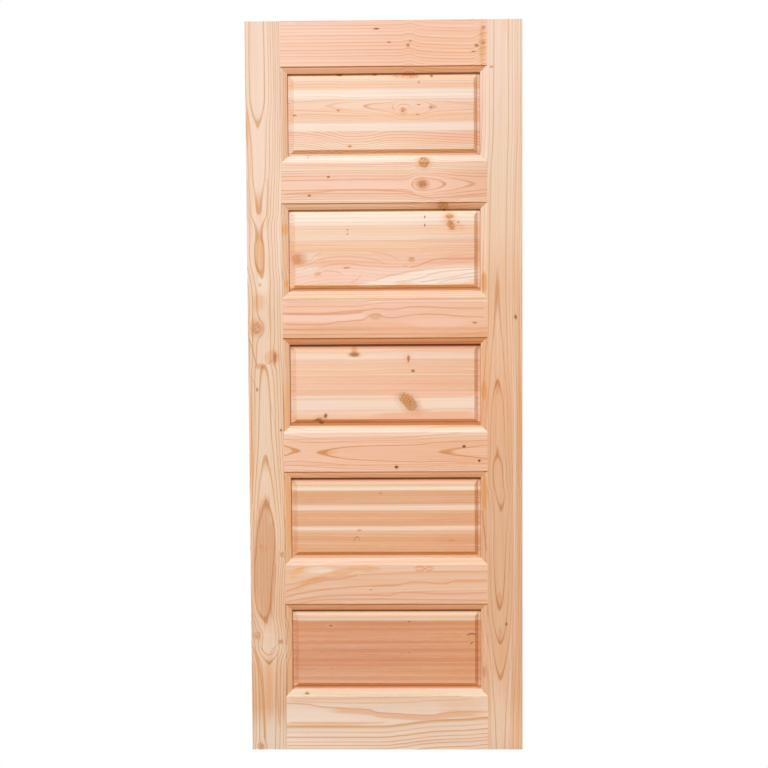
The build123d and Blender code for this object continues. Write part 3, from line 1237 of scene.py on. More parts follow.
@dataclass
class Rails:
    """The six cross rails, scribed between the posts."""

    ends: tuple[float, float] = (SHOULDER_LOW, SHOULDER_HIGH)

    def top(self) -> Board:
        """Straight pink grain that sinks to the right."""
        return Board(
            node="top_rail",
            seed=3.0,
            joint_ends=self.ends,
            figure=Figure(
                cut=Cut.QUARTER,
                rings=(1919, 1927, 1936, 1944, 1953, 1964, 1973, 1982, 1992, 2002, 2011, 2020),
                inner_step=9,
                outer_step=10,
                centre=(
                    (57, 0), (430, 0), (450, 4), (470, -2), (500, -6), (560, -9), (610, -10), (640, -4), (660, 4), (705, 5),
                ),
                wander=0.8,
            ),
            finish=Finish(
                tones=((1890.0, Tone.BLUSH), (2032.0, Tone.BLUSH)),
                drift=((97, Tone.ROSE), (300, Tone.BLUSH), (440, Tone.SALMON), (665, Tone.SALMON)),
                drift_share=0.8,
                line=Tone.EMBER,
                line_strength=0.55,
                late_share=0.4,
            ),
            knots=(
                Knot(362, 2009, 7, 1.8, 1.25),
                Knot(397, 1972, 4, 1.8, 1.15),
                Knot(449, 1963, 3.5, 3.5, 1.05, spread=0.3),
                Knot(455, 1975, 2.5, 2.5, 0.75),
                Knot(637, 1961, 4, 3, 1.15),
                Knot(629, 1945, 6, 1.4, 1.15),
                Knot(655, 2010, 4, 3, 0.75),
                Knot(655, 1968, 4, 3, 0.75),
            ),
            stains_and_shade=(
                StainAndShade(652, 1962, 8, 56, Tone.HONEY, 0.9, 0.45),
            ),
        )

    def second(self) -> Board:
        """An eye knot with flames to its right."""
        return Board(
            node="second_rail",
            seed=4.0,
            joint_ends=self.ends,
            figure=Figure(
                cut=Cut.FLAT,
                rings=(42, 46, 50, 54, 58, 62),
                inner_step=7,
                outer_step=4,
                centre=((57, 1583), (300, 1584), (430, 1583), (487, 1585), (550, 1584), (705, 1588)),
                reach=((57, 48), (430, 48), (456, 46), (475, 43), (490, 42.5), (510, 43.2), (550, 46), (627, 50), (705, 52)),
                wander=0.9,
            ),
            finish=Finish(
                tones=(
                    (1516, Tone.BUFF), (1532, Tone.CREAM), (1546, Tone.BUFF), (1558, Tone.BLUSH), (1608, Tone.BLUSH),
                    (1618, Tone.BUFF), (1630, Tone.CREAM), (1646, Tone.BUFF), (1663, Tone.CREAM),
                ),
                drift=((97, Tone.BLUSH), (350, Tone.BLUSH), (500, Tone.SALMON), (665, Tone.CLAY)),
                drift_share=0.45,
                line_strength=0.9,
                late_share=0.25,
                rim=Tone.COCOA,
            ),
            knots=(
                Knot(487, 1585, 9, 8, 1.1, spread=0.5, lift=1.5),
                Knot(491, 1645, 13, 13, 0.75, spread=0.4),
                Knot(485, 1655, 3, 3, 1.3),
                Knot(500, 1642, 3, 3, 1.3),
                Knot(543, 1524, 13, 9, 0.8, spread=0.6),
                Knot(227, 1606, 4, 2.5, 1.2),
                Knot(174, 1555, 4, 2.2, 1.2),
                Knot(170, 1664, 1.2, 5, 1.3),
            ),
            stains_and_shade=(
                StainAndShade(487, 1585, 20, 15, Tone.BRICK, 0.7, 0.5),
                StainAndShade(560, 1524, 60, 8, Tone.CLAY, 0.5, 0.5),
                StainAndShade(480, 1642, 90, 3, Tone.HONEY, 0.25, 0.6),
            ),
            streaks=(
                *streaks(
                    Tone.CLAY,
                    ((97, 1560), (200, 1566), (280, 1571), (430, 1566), (470, 1556), (520, 1548), (600, 1552), (665, 1560)),
                    strength=0.75, above=1.5, core=1.5, below=3.5,
                ),
                *streaks(
                    Tone.CLAY,
                    ((97, 1547), (200, 1557), (400, 1557), (480, 1545), (541, 1541), (600, 1543)),
                    ((97, 1638), (300, 1639), (470, 1641)),
                    ((97, 1598), (250, 1599), (400, 1600), (460, 1604)),
                    ((420, 1526), (480, 1520), (520, 1518)),
                    ((430, 1532), (500, 1526), (530, 1522)),
                    strength=0.6, above=0.8, below=2.4,
                ),
            ),
        )

    def third(self) -> Board:
        """Wavy lines over a plain orange lower half."""
        upper_line = (
            (97, 1232), (200, 1231), (270, 1236), (330, 1240), (360, 1243), (400, 1241), (460, 1248), (560, 1244), (665, 1242),
        )
        lower_line = (
            (97, 1202), (200, 1200), (250, 1207), (310, 1211), (330, 1218), (345, 1227), (360, 1229), (375, 1222),
            (400, 1218), (440, 1223), (500, 1227), (580, 1222), (665, 1218),
        )
        return Board(
            node="third_rail",
            seed=5.0,
            joint_ends=self.ends,
            figure=Figure(
                cut=Cut.QUARTER,
                rings=(1150, 1160, 1172, 1186, 1272, 1282),
                inner_step=12,
                outer_step=9,
                centre=((57, 0), (705, 2)),
                wander=1.4,
                wander_length=200,
            ),
            finish=Finish(
                tones=(
                    (1143, Tone.CLAY), (1166, Tone.TAN), (1190, Tone.CORAL), (1215, Tone.BLUSH), (1256, Tone.BLUSH),
                    (1262, Tone.CREAM), (1272, Tone.CREAM), (1276, Tone.SAND), (1290, Tone.SAND),
                ),
                drift=((97, Tone.CORAL), (400, Tone.CORAL), (665, Tone.TAN)),
                drift_share=0.3,
                line_strength=0.45,
                rim=Tone.COCOA,
            ),
            knots=(
                Knot(630, 1202, 5, 2, 1.15),
            ),
            stains_and_shade=(
                StainAndShade(525, 1203, 90, 12, Tone.BLUSH, 0.7, 0.4),
                StainAndShade(356, 1220, 18, 7, Tone.DUN, 0.8, 0.3),
                StainAndShade(240, 1185, 90, 12, Tone.TAN, 0.5, 0.6),
            ),
            streaks=(
                *streaks(
                    Tone.ROSE,
                    ((80, 1227), (200, 1226), (270, 1230), (335, 1235)),
                    strength=0.85, above=3.0, core=18.0, below=3.0, fade=20.0,
                ),
                *streaks(Tone.CLAY, ((80, 1232), (200, 1230), (330, 1236)), strength=0.8, above=2.0, core=4.0, below=3.0),
                *streaks(Tone.CLAY, upper_line, strength=0.85, above=1.5, core=1.0, below=3.5),
                *streaks(Tone.BRICK, lower_line, strength=0.75, above=1.0, core=0.3, below=4.5),
                *streaks(
                    Tone.CLAY,
                    ((97, 1250), (280, 1249), (340, 1255), (450, 1260), (665, 1258)),
                    ((97, 1262), (300, 1262), (360, 1266), (665, 1268)),
                    ((540, 1165), (600, 1170), (665, 1178)),
                    ((97, 1275), (350, 1276), (665, 1278)),
                    ((97, 1282), (350, 1283), (665, 1284)),
                    strength=0.75, below=2.8,
                ),
            ),
        )

    def fourth(self) -> Board:
        """Long tips that point to the left."""
        return Board(
            node="fourth_rail",
            seed=6.0,
            joint_ends=self.ends,
            figure=Figure(
                cut=Cut.FLAT,
                rings=(59.8, 65.8, 71.8, 77.5),
                inner_step=8,
                outer_step=5.5,
                centre=((57, 848), (132, 847), (165, 843), (200, 842), (330, 840), (460, 839), (540, 843), (705, 842)),
                reach=(
                    (57, 63), (100, 64.5), (132, 65.8), (165, 66.3), (200, 65.8), (240, 64.6), (280, 63.4), (360, 62.2),
                    (460, 61.2), (540, 59.8), (600, 58.5), (660, 56.8), (705, 55.4),
                ),
                wander=0.8,
            ),
            finish=Finish(
                tones=(
                    (770, Tone.PEACH), (792, Tone.BLUSH), (802, Tone.SALMON), (868, Tone.SALMON), (878, Tone.BLUSH),
                    (888, Tone.BUFF), (897, Tone.IVORY), (907, Tone.CREAM), (914, Tone.TAN), (917, Tone.TAN),
                ),
                drift=((97, Tone.SALMON), (350, Tone.CORAL), (600, Tone.TAN), (665, Tone.TAN)),
                drift_share=0.4,
                line_strength=0.8,
                late_share=0.11,
            ),
            knots=(
                Knot(600, 858, 4, 3.2, 1.3),
                Knot(642, 818, 3.5, 3, 1.3),
                Knot(411, 801, 4.5, 4, 1.3),
            ),
            stains_and_shade=(
                StainAndShade(222, 842, 26, 5, Tone.HONEY, 0.6, 0.5),
                StainAndShade(556, 843, 18, 4, Tone.HONEY, 0.5, 0.5),
            ),
            streaks=streaks(
                Tone.CLAY, ((97, 880), (300, 880), (500, 889), (600, 897)), ((97, 806), (400, 808), (665, 812)),
                ((97, 872), (330, 871), (665, 868)), strength=0.6,
            ),
        )

    def fifth(self) -> Board:
        """Pinkish tan with wavy lines and orange places near its upper edge."""
        return Board(
            node="fifth_rail",
            seed=7.0,
            joint_ends=self.ends,
            figure=Figure(
                cut=Cut.QUARTER,
                rings=(412, 428, 442, 466, 498, 524),
                inner_step=10,
                outer_step=10,
                centre=(
                    (57, -30), (100, -26), (160, -14), (220, -6), (300, 0), (430, 6), (540, 10), (660, 11), (705, 12),
                ),
                wander=2.0,
                wander_length=140,
            ),
            finish=Finish(
                tones=((397, Tone.CORAL), (412, Tone.FAWN), (426, Tone.FLESH), (543, Tone.FLESH)),
                line=Tone.EMBER,
                line_strength=0.25,
                late_share=0.3,
                body=Tone.HONEY,
                rim=Tone.RUST,
            ),
            knots=(
                Knot(338, 455, 3, 1.6, 1.15),
            ),
            stains_and_shade=(
                StainAndShade(130, 505, 26, 10, Tone.FLAME, 0.8, 0.2, slant=42),
                StainAndShade(195, 512, 38, 9, Tone.CREAM, 0.6, 0.5),
                StainAndShade(320, 514, 46, 9, Tone.HONEY, 0.95, 0.2),
                StainAndShade(262, 507, 42, 9, Tone.HONEY, 0.95, 0.2, slant=12),
                StainAndShade(190, 489, 50, 6, Tone.HONEY, 0.85, 0.3, slant=20),
                StainAndShade(305, 503, 10, 5, Tone.FLESH, 0.8, 0.4),
                StainAndShade(474, 516, 14, 6, Tone.TAN, 0.6, 0.3),
                StainAndShade(501, 516, 14, 6, Tone.TAN, 0.6, 0.3),
                StainAndShade(160, 470, 60, 7, Tone.HONEY, 0.5, 0.4, slant=18),
                StainAndShade(380, 466, 45, 4, Tone.HONEY, 0.6, 0.5),
                StainAndShade(585, 477, 66, 4, Tone.HONEY, 0.6, 0.5),
                StainAndShade(230, 415, 36, 5, Tone.HONEY, 0.5, 0.5),
            ),
            streaks=streaks(
                Tone.CLAY,
                ((97, 451), (150, 470), (200, 482), (260, 489), (300, 498)),
                (
                    (97, 436), (160, 450), (220, 458), (300, 465), (400, 469), (470, 478), (540, 473), (580, 482), (665, 482),
                ),
                ((97, 422), (160, 433), (220, 440), (330, 442), (380, 440), (430, 449), (540, 445), (665, 447)),
                ((97, 409), (150, 420), (200, 428), (300, 430), (500, 428), (665, 426)),
                ((460, 516), (474, 522), (488, 516), (501, 511), (514, 516)),
                ((460, 515), (474, 509), (488, 515), (501, 521), (514, 516)),
                strength=0.85, above=1.4, core=1.2, below=4.0, fade=6.0,
            ),
        )

    def bottom(self) -> Board:
        """Broad pale figure over tightly banded straight grain."""
        main_line = (
            (97, 134), (150, 131), (190, 124), (240, 120), (300, 117), (335, 114), (350, 107), (400, 104), (460, 100),
            (500, 99), (540, 105), (600, 109), (665, 108),
        )
        return Board(
            node="bottom_rail",
            seed=8.0,
            joint_ends=self.ends,
            figure=Figure(
                cut=Cut.QUARTER,
                rings=(3, 12, 22, 36, 50, 67),
                inner_step=11,
                outer_step=100,
                centre=((57, 0), (350, 0), (420, 5), (480, 13), (540, 18), (600, 20), (660, 25), (705, 27)),
                wander=1.0,
            ),
            finish=Finish(
                tones=((0, Tone.BUFF), (85, Tone.BUFF), (98, Tone.SHELL), (150, Tone.OAT), (158, Tone.SAND), (170, Tone.BUFF)),
                drift=((97, Tone.CREAM), (480, Tone.OAT), (600, Tone.OAT), (665, Tone.SAND)),
                drift_share=0.5,
                line_strength=0.65,
                late_share=0.45,
            ),
            knots=(Knot(155, 160, 5, 3, 0.9),),
            stains_and_shade=(StainAndShade(590, 122, 60, 18, Tone.TAN, 0.4, 0.6), StainAndShade(200, 73, 120, 6, Tone.HONEY, 0.5, 0.5)),
            streaks=(
                *streaks(
                    Tone.TAN,
                    ((200, 122), (240, 119), (300, 116), (335, 113), (360, 106), (400, 103), (460, 99), (500, 98), (540, 104), (600, 108), (665, 107)),
                    strength=0.7, above=1.5, core=11.0, below=8.0, fade=60.0,
                ),
                *streaks(Tone.CLAY, main_line, strength=0.8, above=1.3, core=1.0, below=3.0, fade=5.0),
                *streaks(
                    Tone.TAN,
                    ((97, 147), (200, 146), (320, 148), (450, 150), (600, 153)),
                    ((97, 141), (200, 136), (300, 134), (400, 135), (500, 140), (570, 144), (630, 148)),
                    ((97, 78), (300, 77), (385, 80)),
                    strength=0.65, above=1.4, core=1.0, below=3.4, fade=20.0,
                ),
            ),
        )

    def boards(self) -> list[Board]:
        """All six rails from the top down."""
        return [self.top(), self.second(), self.third(), self.fourth(), self.fifth(), self.bottom()]


@dataclass
class Panel:
    """One raised and fielded panel, glued up from boards."""

    number: int
    figures: tuple[Board, ...]

    def boards(self) -> list[Board]:
        """The panel's boards from the top down, with painted shade along both sides of the panel."""
        named = []
        for place, board in enumerate(self.figures, 1):
            board.node = f"panel_{self.number}_board_{place}"
            board.half_thickness = HALF_FIELD
            board.opening = OPENINGS[self.number - 1]
            board.seed = 10.0 * self.number + place
            middle = board.opening[0] - 113
            # Painted shade: darker copper bands along the panel's right and left sides, next to the stiles.
            board.stains_and_shade += (
                StainAndShade(642, middle, 8, 300, Tone.COPPER, 0.38, 0.4),
                StainAndShade(119, middle, 4.5, 300, Tone.COPPER, 0.3, 0.4),
            )
            named.append(board)
        return named


def straight(*rings: float, step: float = 7.0, centre: Course = ((100, 0), (662, 0)), wander: float = 1.2) -> Figure:
    """A quarter-cut figure whose lines follow one course.

    Args:
        rings: The lines' heights on the face.
        step: How far apart lines are past those rings.
        centre: How far the lines rise along the board.
        wander: How far they stray.

    Returns:
        The figure.
    """
    return Figure(Cut.QUARTER, rings, step, step, centre, wander=wander)


def first_panel() -> Panel:
    """Cream and peach bands, an oval eye, and a bowl of pink lines below."""
    upper = Board(
        node="",
        figure=straight(1820, 1826, 1835, 1838, 1845, 1852, 1860, 1868, 1876, centre=((100, 0), (240, 1), (280, -2), (400, -1), (662, 0))),
        finish=Finish(
            tones=(
                (1818, Tone.IVORY), (1824, Tone.MILK), (1838, Tone.MILK), (1844, Tone.IVORY), (1850, Tone.PEACH),
                (1861, Tone.PEACH), (1867, Tone.BUFF), (1880, Tone.CREAM), (1898, Tone.CREAM),
            ),
            drift=((100, Tone.PEACH), (350, Tone.PEACH), (662, Tone.BRICK)),
            drift_share=0.25,
            line_strength=0.35,
            late_share=0.25,
            body=Tone.HONEY,
            rim=Tone.COCOA,
        ),
        knots=(
            Knot(453, 1880, 20, 5, 0.9),
            Knot(512, 1881, 3.5, 3, 1.3),
            Knot(477, 1864, 3, 2.4, 0.5),
            Knot(258, 1886, 7, 2.4, 1.15),
            Knot(355, 1886, 5, 2, 1.05),
        ),
        streaks=(
            *streaks(Tone.COCOA, ((404, 1877), (414, 1883), (424, 1879)), ((412, 1873), (424, 1880), (436, 1877)), ((430, 1884), (470, 1885)), strength=0.8, fade=4.0),
            *streaks(Tone.FAWN, ((100, 1868), (300, 1869), (420, 1867), (662, 1868)), strength=0.6, above=0.8, below=1.2),
        ),
    )
    middle = Board(
        node="",
        figure=Figure(
            Cut.FLAT, (34, 37, 40, 43), 9, 3.2,
            ((100, 1801), (225, 1801), (327, 1800), (460, 1795), (522, 1797), (662, 1799)),
            (
                (100, 42), (225, 40), (327, 37), (405, 34), (415, 29.5), (430, 27.5), (470, 28), (500, 31), (522, 34), (660, 36),
            ),
            wander=0.7,
        ),
        finish=Finish(
            tones=(
                (1731, Tone.CREAM), (1736, Tone.IVORY), (1740, Tone.MILK), (1750, Tone.MILK), (1756, Tone.BUFF),
                (1762, Tone.PEACH), (1781, Tone.PEACH), (1790, Tone.ROSE), (1812, Tone.BUFF), (1818, Tone.BUFF),
            ),
            drift=((100, Tone.BUFF), (250, Tone.PEACH), (350, Tone.PEACH), (662, Tone.BRICK)),
            drift_share=0.25,
            line_strength=0.5,
            late_share=0.22,
            body=Tone.CLAY,
            rim=Tone.RUST,
        ),
        knots=(
            Knot(434, 1788, 5, 5, 0.8),
            Knot(255, 1789, 3.5, 2.2, 1.3),
            Knot(510, 1796, 4, 3, 1.15),
            Knot(477, 1803, 4, 1.5, 1.15),
            Knot(473, 1776, 4, 1.5, 1.15),
            Knot(133, 1776, 5, 2, 1.25),
        ),
        streaks=(
            *streaks(Tone.FAWN, ((100, 1745), (662, 1746)), ((100, 1740), (662, 1740)), strength=0.35, above=0.7, below=1.2),
            *streaks(
                Tone.COPPER,
                ((423, 1787), (428, 1793), (434, 1795), (441, 1793), (447, 1786)),
                ((421, 1787), (427, 1780), (434, 1777), (442, 1780), (448, 1786)),
                ((412, 1786), (420, 1800), (434, 1805), (450, 1801), (458, 1792)),
                strength=0.6, fade=2.0,
            ),
            *streaks(Tone.TAN, ((133, 1777), (180, 1779), (250, 1776), (350, 1773)), ((540, 1813), (600, 1806), (640, 1801)), strength=0.7, core=0.5),
        ),
    )
    lower = Board(
        node="",
        figure=straight(
            1680, 1686, 1692, 1698, 1704, 1710, 1716, 1722, 1729, 1737, 1745, step=7,
            centre=(
                (100, 3), (140, 0), (200, -8), (250, -20), (290, -27), (330, -26), (370, -19), (410, -15), (480, -17),
                (560, -22), (662, -28),
            ),
        ),
        finish=Finish(
            tones=((1655, Tone.BUFF), (1694, Tone.BUFF), (1712, Tone.ROSE), (1730, Tone.BLUSH), (1745, Tone.SALMON)),
            drift=((100, Tone.CREAM), (200, Tone.ROSE), (400, Tone.PEACH), (662, Tone.CLAY)),
            drift_share=0.4,
            line_strength=0.85,
            late_share=0.3,
            rim=Tone.COCOA,
        ),
        knots=(Knot(286, 1690, 4, 2.6, 0.95),),
        stains_and_shade=(
            StainAndShade(590, 1716, 80, 16, Tone.CORAL, 0.4, 0.6),
            StainAndShade(300, 1694, 120, 6, Tone.CREAM, 0.5, 0.6),
        ),
        # Painted shade: copper band along the panel's down-facing bottom bevel.
        streaks=streaks(Tone.COPPER, ((100, 1671), (662, 1671)), strength=0.4, above=2.0, core=4.0, below=4.0),
    )
    return Panel(1, (upper, middle, lower))


def second_panel() -> Panel:
    """A cream board with a butterfly knot, a straight one, and a wild one."""
    upper = Board(
        node="",
        figure=straight(1449, 1457, 1463, 1471, 1482, 1494, 1504, step=8),
        finish=Finish(
            tones=(
                (1445, Tone.BUFF), (1449, Tone.PEACH), (1466, Tone.PEACH), (1473, Tone.BUFF), (1479, Tone.IVORY),
                (1488, Tone.MILK), (1516, Tone.MILK),
            ),
            drift=((100, Tone.IVORY), (450, Tone.BUFF), (662, Tone.TAN)),
            drift_share=0.25,
            line_strength=0.3,
            late_share=0.25,
            rim=Tone.COCOA,
        ),
        knots=(
            Knot(564, 1473, 8, 12, 0.75, spread=0.3, slant=25),
            Knot(560, 1497, 9, 6, 0.65),
            Knot(492, 1495, 1.6, 3, 1.3),
            Knot(492, 1472, 1.6, 3, 1.3),
            Knot(545, 1515, 3, 2.5, 1.25),
            Knot(585, 1480, 3, 2, 0.65),
            Knot(278, 1449, 2.5, 1.5, 1.05),
            Knot(278, 1461, 2.5, 1.5, 1.05),
        ),
        stains_and_shade=(StainAndShade(586, 1466, 18, 10, Tone.CORAL, 0.8, 0.5), StainAndShade(560, 1484, 22, 26, Tone.PEACH, 0.7, 0.6)),
    )
    middle = Board(
        node="",
        figure=straight(
            1404, 1409, 1413, 1418, 1422, 1427, 1431, 1436, 1441, step=4.5,
            centre=((100, 0), (440, 0), (480, 3), (520, 6), (662, 6)), wander=0.8,
        ),
        finish=Finish(
            tones=(
                (1400, Tone.PEACH), (1416, Tone.PEACH), (1424, Tone.ROSE), (1431, Tone.BUFF), (1437, Tone.CREAM),
                (1445, Tone.CREAM),
            ),
            drift=((100, Tone.PEACH), (420, Tone.PEACH), (662, Tone.CLAY)),
            drift_share=0.35,
            line_strength=0.6,
            late_share=0.3,
        ),
    )
    lower = Board(
        node="",
        figure=straight(
            1290, 1300, 1310, 1320, 1330, 1340, 1350, 1360, 1370, 1380, 1390, step=9,
            centre=((100, -20), (150, -8), (200, 2), (260, 6), (330, 2), (420, -4), (520, 0), (600, 10), (662, 14)),
            wander=2.2,
        ),
        finish=Finish(
            tones=(
                (1281, Tone.PEACH), (1308, Tone.PEACH), (1320, Tone.ROSE), (1346, Tone.ROSE), (1356, Tone.BLUSH),
                (1368, Tone.SALMON), (1400, Tone.SALMON),
            ),
            line_strength=0.25,
            late_share=0.3,
            rim=Tone.RUST,
        ),
        knots=(
            Knot(136, 1381, 11, 12, 0.5),
            Knot(455, 1377, 7, 5, 0.35),
            Knot(275, 1356, 7, 2, 1.05),
        ),
        stains_and_shade=(
            StainAndShade(175, 1383, 24, 16, Tone.SHELL, 0.7, 0.6),
            StainAndShade(146, 1381, 20, 20, Tone.CLAY, 0.7, 0.5),
            StainAndShade(165, 1350, 34, 10, Tone.CREAM, 0.6, 0.6),
            StainAndShade(550, 1333, 125, 23, Tone.IVORY, 0.95, 0.15, slant=5),
            StainAndShade(400, 1320, 90, 12, Tone.IVORY, 0.8, 0.3, slant=10),
            StainAndShade(225, 1330, 34, 12, Tone.PEACH, 0.6, 0.4),
            StainAndShade(195, 1340, 9, 6, Tone.HONEY, 0.8, 0.5),
            StainAndShade(555, 1374, 90, 12, Tone.CORAL, 0.8, 0.4),
            StainAndShade(600, 1384, 60, 12, Tone.TAN, 0.5, 0.5),
        ),
        streaks=(
            *streaks(
                Tone.CLAY,
                ((150, 1340), (170, 1370), (190, 1392), (215, 1400)),
                ((160, 1350), (200, 1380), (280, 1388), (340, 1382), (390, 1362)),
                ((190, 1345), (210, 1360), (270, 1368), (330, 1362), (440, 1358)),
                ((180, 1320), (200, 1342), (225, 1349), (255, 1343), (275, 1330)),
                ((275, 1312), (300, 1322), (318, 1340), (328, 1360)),
                ((340, 1400), (390, 1392), (430, 1372)),
                strength=0.55, above=1.2, core=0.5, below=3.5,
            ),
            *streaks(
                Tone.DUN,
                ((340, 1318), (420, 1340), (500, 1352), (662, 1358)),
                ((400, 1315), (470, 1325), (540, 1345), (662, 1352)),
                ((470, 1315), (540, 1325), (600, 1336), (662, 1346)),
                ((520, 1312), (580, 1325), (662, 1335)),
                strength=0.55, above=1.2, core=1.0, below=3.5,
            ),
            *streaks(
                Tone.CLAY, ((440, 1357), (470, 1361), (500, 1372), (540, 1380), (662, 1381)),
                strength=0.85, above=1.5, core=1.5, below=3.0,
            ),
            *streaks(Tone.COPPER, ((446, 1372), (452, 1383), (460, 1383), (466, 1372)), strength=0.8, core=1.0, fade=4.0),
            *streaks(Tone.COCOA, ((428, 1359), (438, 1360), (448, 1358)), strength=0.6, fade=4.0),
            # Painted shade: dark band along the panel's down-facing bottom bevel.
            *streaks(Tone.PAINTED_FOOT_SHADE, ((100, 1299), (662, 1299)), strength=0.85, above=2.5, core=4.0, below=6.0, fade=2.0),
            *streaks(Tone.COPPER, ((284, 1302), (300, 1296)), ((484, 1302), (500, 1296)), strength=0.6, core=2.0, fade=4.0),
        ),
    )
    return Panel(2, (upper, middle, lower))


def third_panel() -> Panel:
    """Cream and pink boards with a big orange knot and dark marks."""
    upper = Board(
        node="",
        figure=straight(1062, 1071, 1080, 1090, 1098, 1122, 1132, step=9, centre=((100, 0), (300, -2), (430, 3), (662, -3))),
        finish=Finish(
            tones=(
                (1057, Tone.CREAM), (1061, Tone.PEACH), (1100, Tone.SALMON), (1105, Tone.CREAM), (1121, Tone.BUFF),
                (1128, Tone.BLUSH), (1152, Tone.BLUSH),
            ),
            drift=((100, Tone.PEACH), (350, Tone.SALMON), (662, Tone.BRICK)),
            drift_share=0.3,
            streaks=0.6,
            line_strength=0.2,
            late_share=0.3,
            joint=Tone.IVORY,
            joint_strength=0.9,
            rim=Tone.COCOA,
        ),
        knots=(
            Knot(295, 1115, 12, 5, 1.15, spread=0.5),
            Knot(445, 1102, 3, 8, 1.15),
            Knot(458, 1069, 4, 3, 1.25),
        ),
        stains_and_shade=(
            StainAndShade(445, 1102, 14, 16, Tone.CORAL, 0.5, 0.6),
            StainAndShade(295, 1128, 8, 12, Tone.AMBER, 0.7, 0.4),
            StainAndShade(540, 1130, 130, 6, Tone.CORAL, 0.6, 0.5),
        ),
    )
    middle = Board(
        node="",
        figure=straight(1016, 1025, 1034, 1043, 1052, step=9),
        finish=Finish(
            streaks=0.6, tones=((1010, Tone.SALMON), (1057, Tone.SALMON)),
            drift=((100, Tone.SALMON), (350, Tone.CORAL), (662, Tone.TAN)),
            drift_share=0.7,
            line_strength=0.22,
            late_share=0.3,
            joint=Tone.IVORY,
            joint_strength=0.5,
        ),
    )
    lower = Board(
        node="",
        figure=straight(920, 930, 941, 955, 960, 992, step=9, centre=((100, 0), (350, 0), (500, 3), (662, 4))),
        finish=Finish(
            tones=(
                (908, Tone.TAN), (934, Tone.CORAL), (946, Tone.PEACH), (954, Tone.BUFF), (997, Tone.BUFF),
                (1002, Tone.PEACH), (1010, Tone.SALMON),
            ),
            line_strength=0.3,
            late_share=0.3,
            rim=Tone.COCOA,
        ),
        knots=(
            Knot(445, 982, 26, 15, 0.85, spread=0.3, reach=1.6, slant=-42),
            Knot(201, 925, 7, 5, 1.3),
            Knot(192, 934, 9, 3, 1.2, slant=15),
            Knot(213, 944, 4, 5, 1.3),
        ),
        stains_and_shade=(
            StainAndShade(200, 932, 22, 12, Tone.HONEY, 0.7, 0.5),
            StainAndShade(480, 958, 30, 5, Tone.HONEY, 0.4, 0.5),
        ),
        streaks=(
            *streaks(Tone.CORAL, ((320, 946), (450, 952), (662, 955)), strength=0.95, above=3.0, core=20.0, below=10.0, fade=60.0),
            *streaks(Tone.CORAL, ((100, 1003), (330, 1004), (460, 997), (530, 996), (662, 1004)), strength=0.8, above=12.0, core=0.0, below=2.5),
            *streaks(Tone.SAND, ((100, 960), (662, 962)), strength=0.6),
            # Painted shade: dark band along the panel's down-facing bottom bevel.
            *streaks(Tone.PAINTED_FOOT_SHADE, ((100, 925), (662, 925)), strength=0.9, above=3.0, core=7.0, below=4.0, fade=2.0),
        ),
    )
    return Panel(3, (upper, middle, lower))


def fourth_panel() -> Panel:
    """Four tan boards, parted by bands of cream sapwood."""
    tops = Board(
        node="",
        figure=straight(738, 745, 750, 757, step=7),
        finish=Finish(
            tones=((734, Tone.CREAM), (743, Tone.CREAM), (748, Tone.SAND), (753, Tone.SAND), (760, Tone.BLUSH), (778, Tone.BLUSH)),
            line_strength=0.3,
            late_share=0.3,
        ),
    )
    upper = Board(
        node="",
        figure=straight(684, 691, 698, 705, 712, 720, 728, centre=((100, -4), (240, -2), (400, 0), (662, 3))),
        finish=Finish(
            streaks=0.5, tones=((678, Tone.BUFF), (688, Tone.BUFF), (693, Tone.SAND), (698, Tone.DUN), (734, Tone.TAN)),
            line=Tone.EMBER,
            line_strength=0.35,
            late_share=0.3,
            rim=Tone.COCOA,
        ),
        knots=(Knot(365, 726, 3, 1.8, 0.7),),
        stains_and_shade=(
            StainAndShade(195, 707, 56, 4, Tone.CLAY, 0.5, 0.5),
            StainAndShade(600, 715, 80, 14, Tone.CLAY, 0.5, 0.6),
        ),
    )
    lower = Board(
        node="",
        figure=straight(640, 647, 654, 661, 669),
        finish=Finish(
            streaks=0.5, tones=((634, Tone.TAN), (668, Tone.TAN), (674, Tone.FAWN), (678, Tone.FAWN)),
            line=Tone.EMBER,
            line_strength=0.35,
            late_share=0.3,
        ),
        stains_and_shade=(
            StainAndShade(502, 650, 48, 4, Tone.CLAY, 0.6, 0.5),
            StainAndShade(600, 655, 80, 16, Tone.CLAY, 0.5, 0.6),
        ),
    )
    foot = Board(
        node="",
        figure=straight(555, 563, 571, 579, 587, 595, 603, 612, 621, centre=((100, 3), (300, 0), (662, -4))),
        finish=Finish(
            streaks=0.5, tones=((535, Tone.TAN), (613, Tone.TAN), (620, Tone.FAWN), (625, Tone.BUFF), (631, Tone.BUFF), (634, Tone.SAND)),
            line=Tone.EMBER,
            line_strength=0.35,
            late_share=0.3,
            rim=Tone.COCOA,
        ),
        streaks=streaks(
            Tone.COCOA, ((288, 588), (293, 598), (300, 604), (306, 597), (308, 588)), strength=0.6, core=1.5, fade=2.0,
        ),
        knots=(
            Knot(563, 593, 9, 1.3, 0.7),
            Knot(305, 622, 4, 2, 0.65),
        ),
        stains_and_shade=(
            StainAndShade(560, 632, 120, 2.5, Tone.CREAM, 0.6, 0.5),
            StainAndShade(600, 590, 80, 26, Tone.CLAY, 0.5, 0.6),
        ),
    )
    return Panel(4, (tops, upper, lower, foot))


